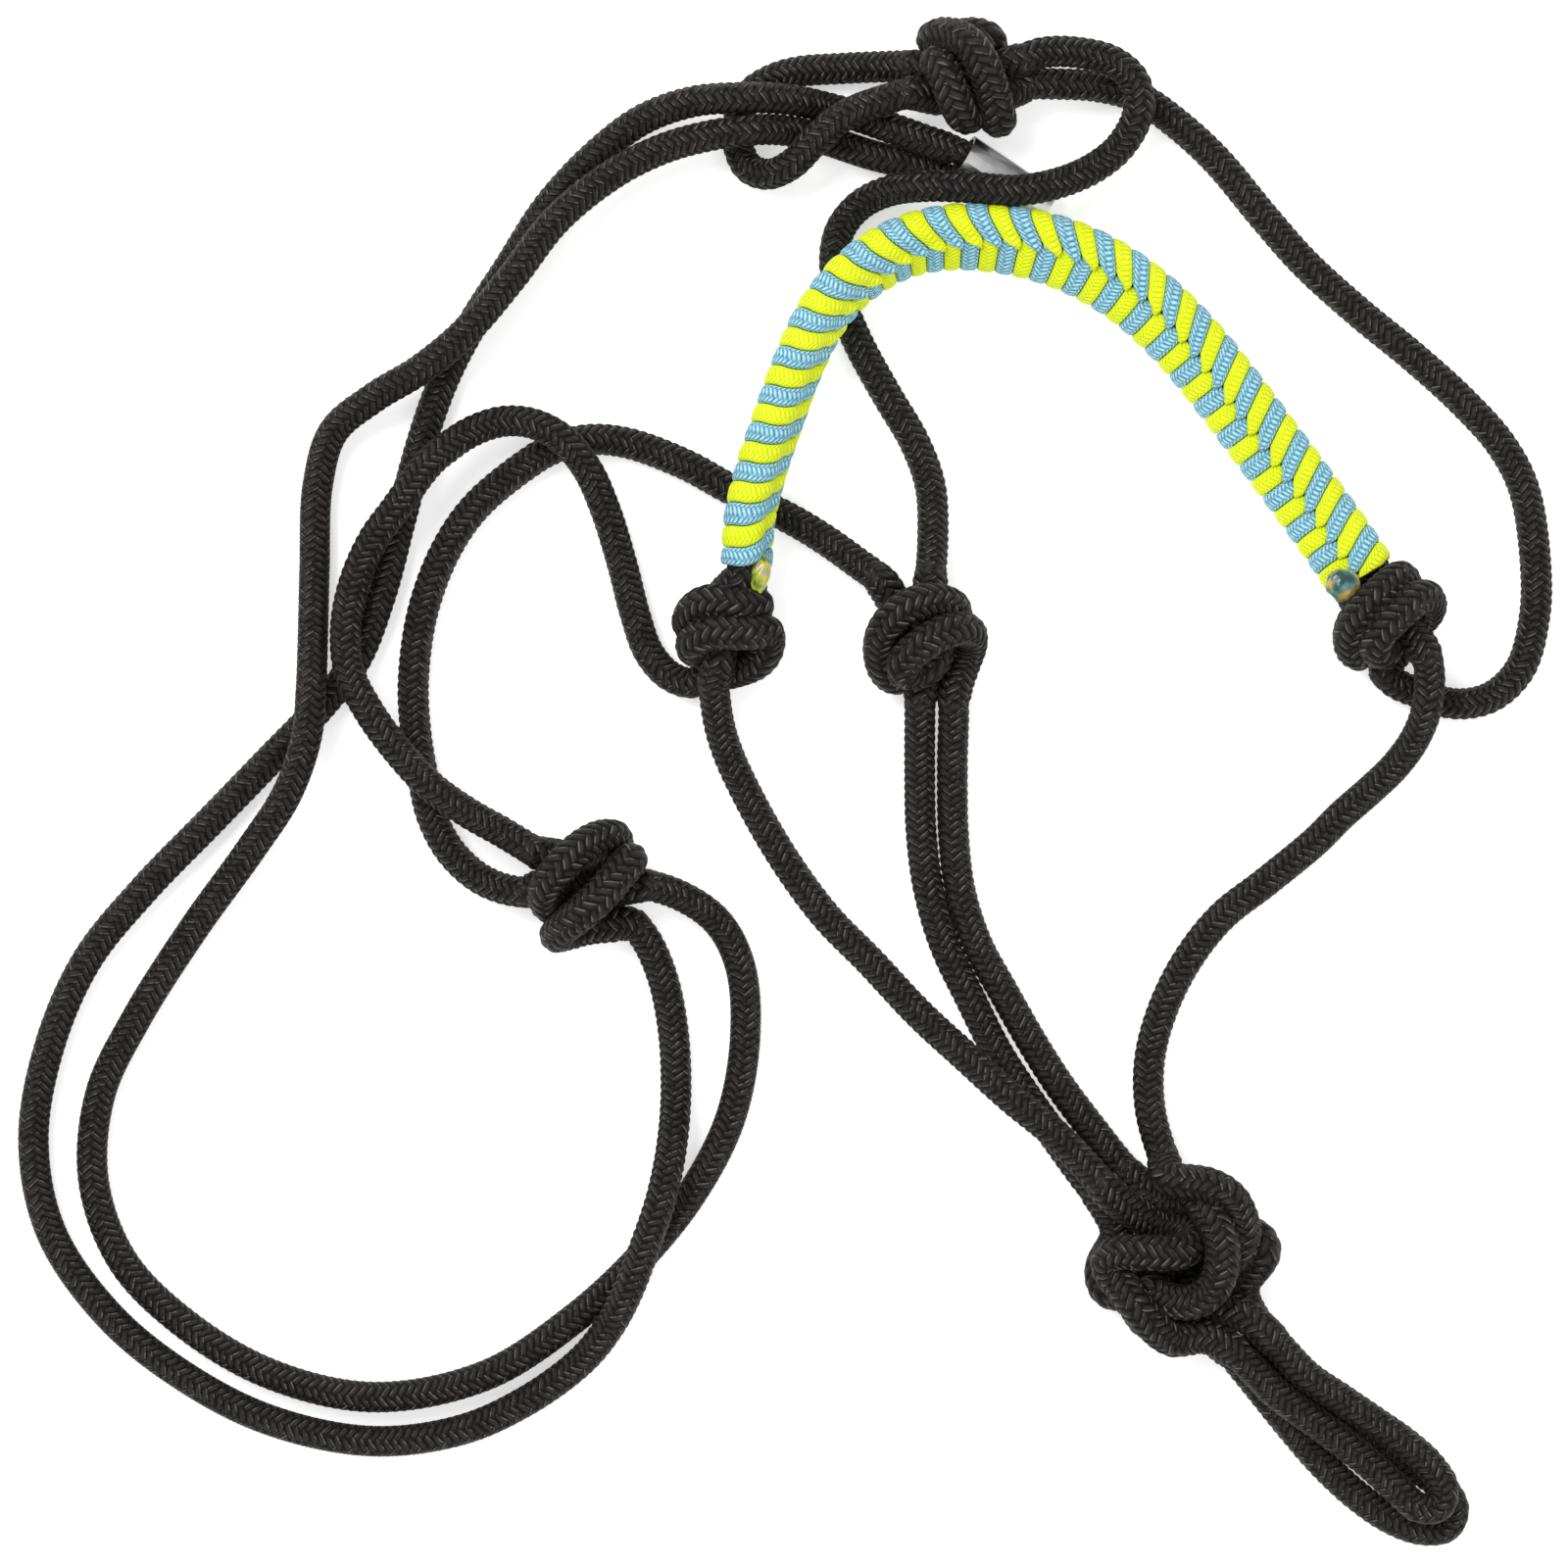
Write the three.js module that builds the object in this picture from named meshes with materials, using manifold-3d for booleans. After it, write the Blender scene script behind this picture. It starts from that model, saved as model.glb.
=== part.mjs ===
// Rope halter, laid out flat.
//
// One braided rope, 8 mm across, is tied into six knots. Its stretches between the knots are the
// noseband's core, the chin, throat, cheek and crown ropes, the eye that the crown tail ties to,
// and the doubled loop that the lead clips to. Two flat cords, one yellow and one blue, are half
// hitched in turn round the noseband, and a flattened metal ferrule joins the rope's two tails.
//
// Units are millimetres. The halter lies on z = 0. +X runs from the crown side to the lead loop
// side, +Y towards the eye, +Z up. The origin is the middle of the halter's footprint.

import * as THREE from "three";
import { mergeVertices } from "three/addons/utils/BufferGeometryUtils.js";
import Module from "manifold-3d";

// Rope
const ROPE_R = 3.8; // corner radius of the eight-sided tube that stands for the 8 mm rope
const ROPE_SIDES = 8;
const STEP = 15; // length of one straight step of a tube, just under two diameters
const BEND_STEP = 8; // the same where the rope turns tightly
const GAP = 0.4; // clearance where one node meets the next

// Knots
const BAND_R = 3.9; // rope radius in a knot's turns
const STUB = 17; // length of rope that stays part of a knot, from the knot's middle
const FIADOR_STUB = 27; // the same for the large knot under the chin

// Noseband wrap
const HITCHES = 25; // half hitches of each colour
const WRAP_START = 19; // from the left nose knot's middle to the first hitch
const WRAP_END = 19; // from the last hitch to the right nose knot's middle
const CORE_R = 3.4; // the core ropes are squeezed by the wrap
const CORE_STEP = 8; // the core ropes follow the wrap's bend closely
const CORE_OFFSET = 3.85; // from the noseband's middle line to each core rope's middle
const WRAP_INSIDE = 4.5; // corner radius of the hole round each core rope
const WRAP_OUTSIDE = 5.4; // corner radius of the wrap's outside round each core rope
const HITCH_GAP = 0.4; // between neighbouring hitches
const LINK_LENGTH = 1.2; // how far a link between two hitches of a colour reaches over each
const LINK_WIDTH = 2;
const LINK_THICKNESS = 0.8;
const LINK_LIFT = 0.4; // clearance of a link over the other colour's hitch

// Ferrule
const FERRULE_LENGTH = 26;
const FERRULE_MOUTH = { width: 14.8, height: 14.2 };
const FERRULE_TAIL = { width: 13.4, height: 4.2 };
const FERRULE_MOUTH_MIDDLE = [44.6, 158.2, 7.6];
const FERRULE_TAIL_MIDDLE = [66.4, 144.9, 2.7];
const FERRULE_WALL = 0.8;

const wasm = await Module();
wasm.setup();

// ---------------------------------------------------------------------------------------------
// Materials

const makeRopeMaterial = () =>
  new THREE.MeshStandardMaterial({ color: 0x2b2927, roughness: 0.75, metalness: 0 });
const makeYellowMaterial = () =>
  new THREE.MeshStandardMaterial({ color: 0xdfff1a, roughness: 0.8, metalness: 0 });
const makeBlueMaterial = () =>
  new THREE.MeshStandardMaterial({ color: 0x6cb4d6, roughness: 0.8, metalness: 0 });
const makeMetalMaterial = () =>
  new THREE.MeshStandardMaterial({ color: 0xcfd1d2, roughness: 0.35, metalness: 1 });
const makeBeadMaterial = () =>
  new THREE.MeshStandardMaterial({ color: 0x8f9a3a, roughness: 0.25, metalness: 0 });

// ---------------------------------------------------------------------------------------------
// Solids

// A geometry with only shared positions left, so that it is one closed mesh.
function closedGeometry(geometry) {
  const bare = new THREE.BufferGeometry();
  bare.setAttribute("position", geometry.getAttribute("position").clone());
  if (geometry.index) bare.setIndex(geometry.index.clone());
  return mergeVertices(bare, 1e-3);
}

function solidFrom(geometry) {
  const merged = closedGeometry(geometry);
  return new wasm.Manifold(
    new wasm.Mesh({
      numProp: 3,
      vertProperties: new Float32Array(merged.getAttribute("position").array),
      triVerts: new Uint32Array(merged.index.array),
    }),
  );
}

function geometryFrom(solid) {
  const mesh = solid.getMesh();
  const positions = new Float32Array(mesh.numVert * 3);
  for (let i = 0; i < mesh.numVert; i += 1) {
    const start = i * mesh.numProp;
    positions.set(mesh.vertProperties.subarray(start, start + 3), i * 3);
  }
  const geometry = new THREE.BufferGeometry();
  geometry.setAttribute("position", new THREE.BufferAttribute(positions, 3));
  geometry.setIndex(new THREE.BufferAttribute(new Uint32Array(mesh.triVerts), 1));
  geometry.computeVertexNormals();
  return geometry;
}

const joined = (geometries) => {
  const [first, ...rest] = geometries.map(solidFrom);
  return rest.reduce((whole, next) => whole.add(next), first);
};

// ---------------------------------------------------------------------------------------------
// Rope stretches

const vector = ([x, y, z]) => new THREE.Vector3(x, y, z);

function routeCurve(points) {
  const curve = new THREE.CatmullRomCurve3(points.map(vector), false, "centripetal");
  curve.arcLengthDivisions = 2000;
  return curve;
}

// The part of a curve between two lengths along it.
class StretchOf extends THREE.Curve {
  constructor(whole, from, to) {
    super();
    this.whole = whole;
    this.first = from / whole.getLength();
    this.last = to / whole.getLength();
  }

  getPoint(t, target = new THREE.Vector3()) {
    return this.whole.getPointAt(THREE.MathUtils.lerp(this.first, this.last, t), target);
  }
}

function regularSection(radius, sides) {
  const corners = [];
  for (let i = 0; i < sides; i += 1) {
    const angle = ((i + 0.5) / sides) * Math.PI * 2;
    corners.push(new THREE.Vector2(Math.cos(angle) * radius, Math.sin(angle) * radius));
  }
  return new THREE.Shape(corners);
}

function tubeAlong(curve, radius, step) {
  return new THREE.ExtrudeGeometry(regularSection(radius, ROPE_SIDES), {
    steps: Math.max(1, Math.round(curve.getLength() / step)),
    extrudePath: curve,
  });
}

const halter = new THREE.Group();

function addNode(name, geometry, material) {
  const mesh = new THREE.Mesh(geometry, material);
  mesh.name = name;
  halter.add(mesh);
}

// Rope ends that are part of each knot, filled in as the stretches are laid.
const ropeEnds = {
  nose_knot_left: [],
  nose_knot_right: [],
  throat_knot: [],
  crown_knot: [],
  eye_knot: [],
  fiador_knot: [],
};

const stubLength = (knot) => (knot === "fiador_knot" ? FIADOR_STUB : STUB);

// Lays one stretch of rope from the middle of one knot to the middle of another.
function layRope({ name, from, to, tailGap = 0, step = STEP, points }) {
  const route = routeCurve(points);
  const length = route.getLength();
  const start = from ? stubLength(from) : tailGap;
  const end = length - (to ? stubLength(to) : tailGap);
  if (from) ropeEnds[from].push(tubeAlong(new StretchOf(route, 0, start), ROPE_R, BEND_STEP));
  if (to) ropeEnds[to].push(tubeAlong(new StretchOf(route, end, length), ROPE_R, BEND_STEP));
  const span = new StretchOf(route, start + GAP, end - GAP);
  addNode(name, tubeAlong(span, ROPE_R, step), makeRopeMaterial());
}

// Routes, as points chosen along the middle of the rope. A rope lying on the floor has its middle
// at z = 4, and one lying on another rope at z = 12 to 13.
layRope({
  name: "chin_rope_left",
  from: "nose_knot_left",
  to: "fiador_knot",
  points: [
    [-14, 40, 12], [-17.5, 31, 12.5], [-17.3, 20, 9], [-15, 9.8, 6], [-8.3, -4.8, 4.2],
    [0.8, -20.3, 4], [10.8, -33.8, 4], [21.8, -45, 5], [34.3, -58.3, 8], [46.5, -69.5, 11.6],
    [57.5, -79.5, 12.6], [68.8, -88.8, 12.8], [78, -98.5, 12.8], [85.5, -107.5, 13], [98, -119, 13],
  ],
});
layRope({
  name: "throat_rope_left",
  from: "throat_knot",
  to: "fiador_knot",
  points: [
    [34.5, 36.3, 12], [34.5, 22, 9], [34.5, 4.3, 4.5], [34.9, -12.5, 4], [36.8, -27, 4],
    [40.9, -41, 4], [47.4, -54.6, 4], [54.2, -68, 4], [61.3, -79, 4], [69.4, -90.4, 4],
    [77.6, -101.6, 4.4], [87, -112, 5.5], [97, -121, 7],
  ],
});
layRope({
  name: "throat_rope_right",
  from: "throat_knot",
  to: "fiador_knot",
  points: [
    [40, 36.3, 12], [42.8, 23.3, 9], [42.8, 4.3, 4.5], [43.1, -12.5, 4], [44.8, -27, 4],
    [49, -40.3, 4], [56, -53.2, 4], [63.3, -66, 4], [70.2, -76.8, 4], [78.2, -87.5, 4.2],
    [86.7, -98.2, 5], [95, -107, 6.5], [104, -117, 8],
  ],
});
layRope({
  name: "chin_rope_right",
  from: "nose_knot_right",
  to: "fiador_knot",
  points: [
    [152, 42, 12], [160.5, 37, 13.4], [163.2, 29.3, 13.2], [162.8, 20, 12.8], [160.3, 12, 9],
    [155.5, 4.8, 6], [149.5, -1.2, 4.4], [141.8, -8, 4], [135.3, -14.5, 4], [122.5, -25, 4],
    [111.3, -33.8, 4], [102.5, -45, 4], [96.3, -57.5, 4], [93, -70, 4.6], [93, -82.5, 7],
    [96.3, -95, 10.5], [100.5, -105, 13], [103, -119, 13],
  ],
});
layRope({
  name: "cheek_rope_right",
  from: "nose_knot_right",
  to: "eye_knot",
  points: [
    [152, 42, 10], [150.5, 33, 6], [154.5, 26.5, 4.2], [162, 23, 4], [171, 20.4, 4], [180, 22.2, 4],
    [187.3, 29.3, 4], [190.9, 42, 4], [191.3, 54.8, 4], [188.3, 75, 4], [182.5, 86.3, 4],
    [172.5, 97.5, 4], [160, 108.8, 4], [146.3, 120, 4], [132.5, 132.5, 4], [122.5, 143.8, 4],
    [110, 158.8, 4], [100, 168, 4], [90.5, 174.5, 4.2], [80, 177.2, 6], [70, 177.6, 8.5],
    [62, 177.6, 9.5], [46.3, 178, 10],
  ],
});
layRope({
  name: "throat_rope_to_eye",
  from: "throat_knot",
  to: "eye_knot",
  points: [
    [36, 38, 12], [36.8, 49.5, 12], [37.8, 62, 7], [37.2, 75.8, 4.3], [33.3, 86.8, 4],
    [26, 99.3, 4], [18.8, 112.5, 4], [14.8, 122.5, 4], [12.8, 133, 4], [14.3, 141, 4.3],
    [19.2, 147, 6], [26.5, 150.3, 10], [36, 151, 16], [47.3, 150.5, 17.6], [58.3, 149.8, 17],
    [69.3, 152, 13.2], [79, 156.5, 9.5], [85.5, 162, 9.5], [89.6, 170, 12.6], [88.8, 177.5, 13.4],
    [83.5, 182.6, 13.4], [74.5, 185, 13.4], [64.8, 184.8, 14], [57, 181.5, 14], [46.3, 178, 13],
  ],
});
layRope({
  name: "throat_rope_to_crown",
  from: "throat_knot",
  to: "crown_knot",
  points: [
    [33, 40, 12], [26, 50.3, 10], [18.3, 56.5, 6.5], [9.5, 62.8, 4.3], [1, 67.8, 4], [-7.5, 72, 4],
    [-15, 75.8, 4], [-25.3, 81.4, 4], [-40, 86.8, 4], [-50, 87.6, 4], [-58.8, 85.3, 4],
    [-66, 81, 4], [-78.5, 70.5, 4], [-86.3, 59, 4], [-92, 43.5, 4], [-94.3, 26.5, 4],
    [-93.8, 14, 4], [-92, 2.5, 4], [-89.5, -8.5, 4], [-84.3, -17.8, 4.5], [-75.8, -24.8, 6.5],
    [-65, -27.5, 9], [-50, -25, 10],
  ],
});
layRope({
  name: "cheek_rope_left",
  from: "nose_knot_left",
  to: "crown_knot",
  points: [
    [-14, 38, 8], [-17.5, 30, 5.5], [-23, 25.8, 4.2], [-29, 27.5, 4], [-34.3, 33.3, 4],
    [-37.8, 42.8, 4], [-41.2, 56, 4.3], [-45.5, 70, 8.2], [-50, 80, 12], [-56.3, 87.5, 12.8],
    [-64, 91.4, 11.6], [-71.5, 91.9, 10], [-79, 89.4, 10.2], [-85.5, 85, 11.8], [-90, 81, 12.7],
    [-98.5, 69.5, 12.6], [-104, 62, 11.7], [-108.8, 51.3, 11], [-111, 39.8, 11.6],
    [-110, 28.3, 12.6], [-105.3, 18.8, 12.4], [-98.5, 9.3, 12.7], [-90, 0, 12.6], [-80.5, -7, 11],
    [-71, -12.4, 10.6], [-62, -17.8, 12.5], [-50, -25, 13],
  ],
});
layRope({
  name: "crown_rope_a",
  from: "crown_knot",
  tailGap: 1,
  points: [
    [-50, -25, 13], [-38, -25, 12], [-26, -28.5, 8], [-16.5, -35.5, 5], [-11, -47, 4],
    [-10, -66, 4], [-14, -86, 4], [-24, -105, 4], [-37.5, -121.5, 4], [-54, -136.5, 4],
    [-76, -150.5, 4], [-104.3, -156, 4], [-131, -150, 4], [-153.5, -136.5, 4], [-168.5, -121, 4],
    [-175.7, -101, 4], [-174, -79, 4], [-165, -60, 4], [-150, -36.5, 4.4], [-135.5, -16.8, 8],
    [-125.8, -2.3, 11.5], [-120.8, 12, 12.8], [-119.8, 24, 11.6], [-119.6, 38, 7.5],
    [-119.4, 55, 4.8], [-118.6, 76, 4.8], [-114.5, 89.5, 6.4], [-104, 98, 9.4], [-92, 105, 12.2],
    [-80.5, 114.5, 12.8], [-69, 128, 12.6], [-57.5, 143, 11.8], [-43, 154.8, 10.4],
    [-30.5, 161, 11], [-19, 164, 13], [-9, 165.4, 13.2], [1, 165.8, 7.6], [10, 164, 4.4],
    [21.7, 160.2, 4.2], [32.7, 157.4, 4.4], [42.3, 154.4, 4.6],
  ],
});
layRope({
  name: "crown_rope_b",
  from: "crown_knot",
  tailGap: 1,
  points: [
    [-50, -27, 9], [-42, -32, 7], [-35.5, -39, 4.8], [-31, -49, 4], [-28.2, -63, 4],
    [-27.5, -79, 4.4], [-28.5, -92, 8.4], [-31, -104.5, 12.4], [-35, -116.5, 12.8],
    [-39.8, -129, 11.8], [-44.6, -138, 8], [-51.5, -146.6, 5], [-65, -156.6, 4], [-82, -164.3, 4],
    [-105, -167.2, 4], [-131, -161.8, 4], [-153, -150.5, 4], [-172, -135, 4], [-186.5, -114, 4],
    [-191, -91, 4], [-187, -67, 4], [-177.5, -45, 4], [-163, -27, 4], [-146, -9.5, 4], [-131, 6, 4],
    [-119, 18.5, 4], [-109, 31.5, 4], [-102.6, 48, 4], [-97.3, 68, 4], [-92.5, 86, 4],
    [-86.5, 103, 4], [-79.3, 117, 4], [-70, 131.5, 4], [-60, 147, 4.2], [-48, 159.8, 5.2],
    [-36, 168.6, 8], [-23, 172.8, 12], [-11, 173.6, 13.2], [0, 173.6, 10.2], [10, 172.2, 5.2],
    [19, 169.6, 6.2], [29, 165.8, 9], [37, 162.8, 10.2], [45.6, 159.9, 10.4],
  ],
});
layRope({
  name: "eye_loop",
  from: "eye_knot",
  to: "eye_knot",
  step: BEND_STEP,
  points: [
    [46.3, 179, 14], [34.8, 181.8, 11], [25.3, 182.2, 7], [14.3, 182, 4.5], [4, 181.3, 4],
    [-2.5, 179.5, 4], [-8.2, 176, 4], [-11, 171.5, 4], [-11.8, 166.5, 4], [-11.4, 161.5, 4.2],
    [-9, 156.8, 5], [-4, 154.8, 7.8], [2, 157, 11.6], [7, 161.8, 13.6], [12.8, 167.2, 14.6],
    [18, 170.3, 15], [24, 172.5, 14.8], [30.5, 174.5, 14], [38, 176.5, 13], [46.3, 178, 12],
  ],
});

// ---------------------------------------------------------------------------------------------
// Lead loop: two bights of the rope, one lying on the other. It swings up at the fiador knot, so
// it starts clear of the knot.

function layBight(name, points) {
  const route = routeCurve(points);
  addNode(name, tubeAlong(route, ROPE_R, BEND_STEP), makeRopeMaterial());
}

layBight("lead_loop_top", [
  [125.5, -142.5, 12.8], [132.5, -149.8, 12.6], [141, -155.6, 12.4], [149.5, -161.4, 12.4],
  [157.5, -167, 12.4], [163.6, -172.6, 12.4], [167, -178.4, 12.4], [165.4, -183, 12.4],
  [160.4, -183, 12.2], [154, -178.6, 11], [146, -172.4, 10], [135.3, -164.3, 11],
  [124.5, -154.2, 12.4], [116, -145.4, 12.8],
]);
layBight("lead_loop_bottom", [
  [124.5, -143.6, 4], [130.5, -150.6, 4], [138, -156, 4], [149, -163, 4], [160, -171.5, 4],
  [167, -178.5, 4], [170.4, -184.4, 4], [168.5, -189, 4], [162.5, -189.8, 4], [155, -187.3, 4],
  [146.3, -181.5, 4], [137.3, -173.2, 4], [128.8, -163.4, 4], [120.6, -153.2, 4], [115, -146.2, 4],
]);

// ---------------------------------------------------------------------------------------------
// Noseband: two core ropes with the two wrap cords half hitched round them. It swings up about
// the line through the two nose knots, so it starts clear of them.

const noseband = routeCurve([
  [-13.8, 40, 12], [-9.8, 54, 14.8], [-8.6, 67.5, 17.2], [-5.5, 80, 17.8], [-1.3, 92.5, 17.8],
  [3.8, 106.3, 17.6], [10, 118.8, 17], [18, 128, 16.4], [28.8, 135, 15.2], [40, 138, 14],
  [52, 138.2, 13.2], [65, 136, 12.4], [77.5, 131.5, 10.4], [90, 123.8, 8.2], [102, 112.6, 6.6],
  [112, 100.5, 6.2], [122.5, 86.5, 6.2], [135, 69.5, 7], [143.5, 57, 9.2], [152, 43, 12],
]);
const nosebandLength = noseband.getLength();
const CORE_START = 15.2; // from a nose knot's middle to the core ropes' ends

// The section's roll: nearly on edge on the left leg, lying flat on the right leg.
const ROLL_LEFT = THREE.MathUtils.degToRad(74);
const ROLL_RIGHT = THREE.MathUtils.degToRad(6);

function nosebandFrame(distance) {
  const share = THREE.MathUtils.clamp(distance / nosebandLength, 0, 1);
  const turned = THREE.MathUtils.smoothstep(share, 0.22, 0.72);
  const roll = THREE.MathUtils.lerp(ROLL_LEFT, ROLL_RIGHT, turned);
  const along = noseband.getTangentAt(share);
  const outward = new THREE.Vector3(-along.y, along.x, 0).normalize();
  const upright = new THREE.Vector3().crossVectors(along, outward);
  const u = outward.clone().multiplyScalar(Math.cos(roll)).addScaledVector(upright, Math.sin(roll));
  const v = new THREE.Vector3().crossVectors(along, u).normalize();
  return { middle: noseband.getPointAt(share), u, v };
}

// Bends a straight extrusion, whose z runs from 0 to 1, along the noseband between two distances.
function bendAlongNoseband(geometry, from, to) {
  const position = geometry.getAttribute("position");
  for (let i = 0; i < position.count; i += 1) {
    const distance = THREE.MathUtils.lerp(from, to, position.getZ(i));
    const { middle, u, v } = nosebandFrame(distance);
    middle.addScaledVector(u, position.getX(i)).addScaledVector(v, position.getY(i));
    position.setXYZ(i, middle.x, middle.y, middle.z);
  }
  return geometry;
}

// Corners of a flat oval round both core ropes.
function ovalCorners(radius) {
  const corners = [];
  for (const side of [1, -1]) {
    for (const angle of [-90, -30, 30, 90]) {
      const turn = THREE.MathUtils.degToRad(angle);
      corners.push(
        new THREE.Vector2(
          side * (CORE_OFFSET + Math.cos(turn) * radius),
          side * Math.sin(turn) * radius,
        ),
      );
    }
  }
  return corners;
}

function addCore(name, side) {
  const corners = regularSection(CORE_R, ROPE_SIDES).getPoints();
  const section = new THREE.Shape(
    corners.map((corner) => corner.clone().setX(corner.x + side * CORE_OFFSET)),
  );
  const length = nosebandLength - 2 * CORE_START;
  const straight = new THREE.ExtrudeGeometry(section, {
    steps: Math.round(length / CORE_STEP),
    depth: 1,
    bevelEnabled: false,
  });
  const bent = bendAlongNoseband(straight, CORE_START, nosebandLength - CORE_START);
  addNode(name, bent, makeRopeMaterial());
}

addCore("noseband_core_outer", 1);
addCore("noseband_core_inner", -1);

// One colour's cord: its hitches, joined by the links of the seam that pass over the other cord.
function addWrapCord(name, first, seam, material) {
  const pitch = (nosebandLength - WRAP_START - WRAP_END) / (2 * HITCHES);
  const oval = new THREE.Shape(ovalCorners(WRAP_OUTSIDE));
  oval.holes.push(new THREE.Path(ovalCorners(WRAP_INSIDE)));
  const pieces = [];
  for (let i = 0; i < HITCHES; i += 1) {
    const from = WRAP_START + (2 * i + first) * pitch + HITCH_GAP / 2;
    const to = from + pitch - HITCH_GAP;
    const hitch = new THREE.ExtrudeGeometry(oval, { steps: 1, depth: 1, bevelEnabled: false });
    pieces.push(bendAlongNoseband(hitch, from, to));
    if (i < HITCHES - 1) pieces.push(seamLink(seam, to, from + 2 * pitch));
  }
  addNode(name, geometryFrom(joined(pieces)), material);
}

// A link is a small flat bar that bridges the other colour's hitch. Both its ends dip into the
// hitches that it joins.
function seamLink(seam, from, to) {
  const bottom = WRAP_OUTSIDE - LINK_LIFT;
  const top = WRAP_OUTSIDE + LINK_LIFT + LINK_THICKNESS;
  const section = new THREE.Shape([
    new THREE.Vector2(seam - LINK_WIDTH / 2, bottom),
    new THREE.Vector2(seam + LINK_WIDTH / 2, bottom),
    new THREE.Vector2(seam + LINK_WIDTH / 2, top),
    new THREE.Vector2(seam - LINK_WIDTH / 2, top),
  ]);
  const link = new THREE.ExtrudeGeometry(section, { steps: 3, depth: 1, bevelEnabled: false });
  const stations = [from - LINK_LENGTH, from, to, to + LINK_LENGTH];
  const position = link.getAttribute("position");
  for (let i = 0; i < position.count; i += 1) {
    const station = Math.round(position.getZ(i) * 3);
    const bridges = station === 1 || station === 2;
    const isUnderside = position.getY(i) < WRAP_OUTSIDE;
    if (bridges && isUnderside) position.setY(i, WRAP_OUTSIDE + LINK_LIFT);
    position.setZ(i, (stations[station] - stations[0]) / (stations[3] - stations[0]));
  }
  return bendAlongNoseband(link, stations[0], stations[3]);
}

addWrapCord("wrap_cord_blue", 0, -0.9, makeBlueMaterial());
addWrapCord("wrap_cord_yellow", 1, -3.3, makeYellowMaterial());

// The melted end of each wrap cord, a hard bead pressed on the wrap beside a nose knot. distance
// is along the noseband, across and above are from its middle line.
function addMeltedEnd({ name, distance, across, above, width, length }) {
  const { middle, u, v } = nosebandFrame(distance);
  const bead = new THREE.SphereGeometry(1, 8, 6);
  bead.scale(width / 2, length / 2, width / 2);
  const mesh = new THREE.Mesh(bead, makeBeadMaterial());
  mesh.name = name;
  mesh.position.copy(middle).addScaledVector(u, across).addScaledVector(v, above);
  mesh.quaternion.setFromUnitVectors(
    new THREE.Vector3(0, 1, 0),
    noseband.getTangentAt(distance / nosebandLength),
  );
  halter.add(mesh);
}

addMeltedEnd({
  name: "melted_cord_end_left",
  distance: 21,
  across: 1.5,
  above: 8.3,
  width: 4.6,
  length: 9,
});
addMeltedEnd({
  name: "melted_cord_end_right",
  distance: nosebandLength - 21,
  across: 1.5,
  above: 8.3,
  width: 5,
  length: 6,
});

// ---------------------------------------------------------------------------------------------
// Ferrule: a metal tube, round at its mouth and pressed flat at its tail.

function ellipsePoints(width, height, sides) {
  const corners = [];
  for (let i = 0; i < sides; i += 1) {
    const angle = (i / sides) * Math.PI * 2;
    corners.push(
      new THREE.Vector2((Math.cos(angle) * width) / 2, (Math.sin(angle) * height) / 2),
    );
  }
  return corners;
}

// Its section is drawn on a unit circle, and each end scales that to its own width and height.
function ferruleTube(wall) {
  const sides = 16;
  const tube = new THREE.ExtrudeGeometry(new THREE.Shape(ellipsePoints(2, 2, sides)), {
    steps: 4,
    depth: 1,
    bevelEnabled: false,
  });
  const position = tube.getAttribute("position");
  for (let i = 0; i < position.count; i += 1) {
    const share = THREE.MathUtils.clamp(position.getZ(i), 0, 1);
    const width = THREE.MathUtils.lerp(FERRULE_MOUTH.width, FERRULE_TAIL.width, share);
    const height = THREE.MathUtils.lerp(FERRULE_MOUTH.height, FERRULE_TAIL.height, share);
    const overrun = wall > 0 ? (share < 0.5 ? -1 : 1) * wall * Math.abs(2 * share - 1) : 0;
    position.setXYZ(
      i,
      position.getX(i) * (width / 2 - wall),
      position.getY(i) * (height / 2 - wall),
      share * FERRULE_LENGTH + overrun,
    );
  }
  return tube;
}

function addFerrule() {
  const shell = solidFrom(ferruleTube(0)).subtract(solidFrom(ferruleTube(FERRULE_WALL)));
  const ferrule = new THREE.Mesh(geometryFrom(shell), makeMetalMaterial());
  ferrule.name = "tail_ferrule";
  const mouth = vector(FERRULE_MOUTH_MIDDLE);
  const along = vector(FERRULE_TAIL_MIDDLE).sub(mouth).normalize();
  const across = new THREE.Vector3(along.y, -along.x, 0).normalize();
  const upward = new THREE.Vector3().crossVectors(along, across);
  ferrule.position.copy(mouth);
  ferrule.quaternion.setFromRotationMatrix(new THREE.Matrix4().makeBasis(across, upward, along));
  halter.add(ferrule);
}

addFerrule();

// ---------------------------------------------------------------------------------------------
// Knots: a core with the turns of rope that show round it, and the rope ends that leave it.

const FLOOR_BLOCK = new THREE.BoxGeometry(120, 120, 60);

// A closed turn of rope round a knot. tilt and turn are in degrees: a turn of 0 rings the X axis.
function ropeTurn({ at = [0, 0, 0], radius, wide = 1, tilt = 0, turn = 0 }) {
  const ring = new THREE.TorusGeometry(radius, BAND_R, 6, 12);
  ring.scale(wide, 1, 1);
  ring.rotateY(Math.PI / 2);
  ring.rotateX(THREE.MathUtils.degToRad(tilt));
  ring.rotateZ(THREE.MathUtils.degToRad(turn));
  ring.translate(...at);
  return ring;
}

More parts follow.
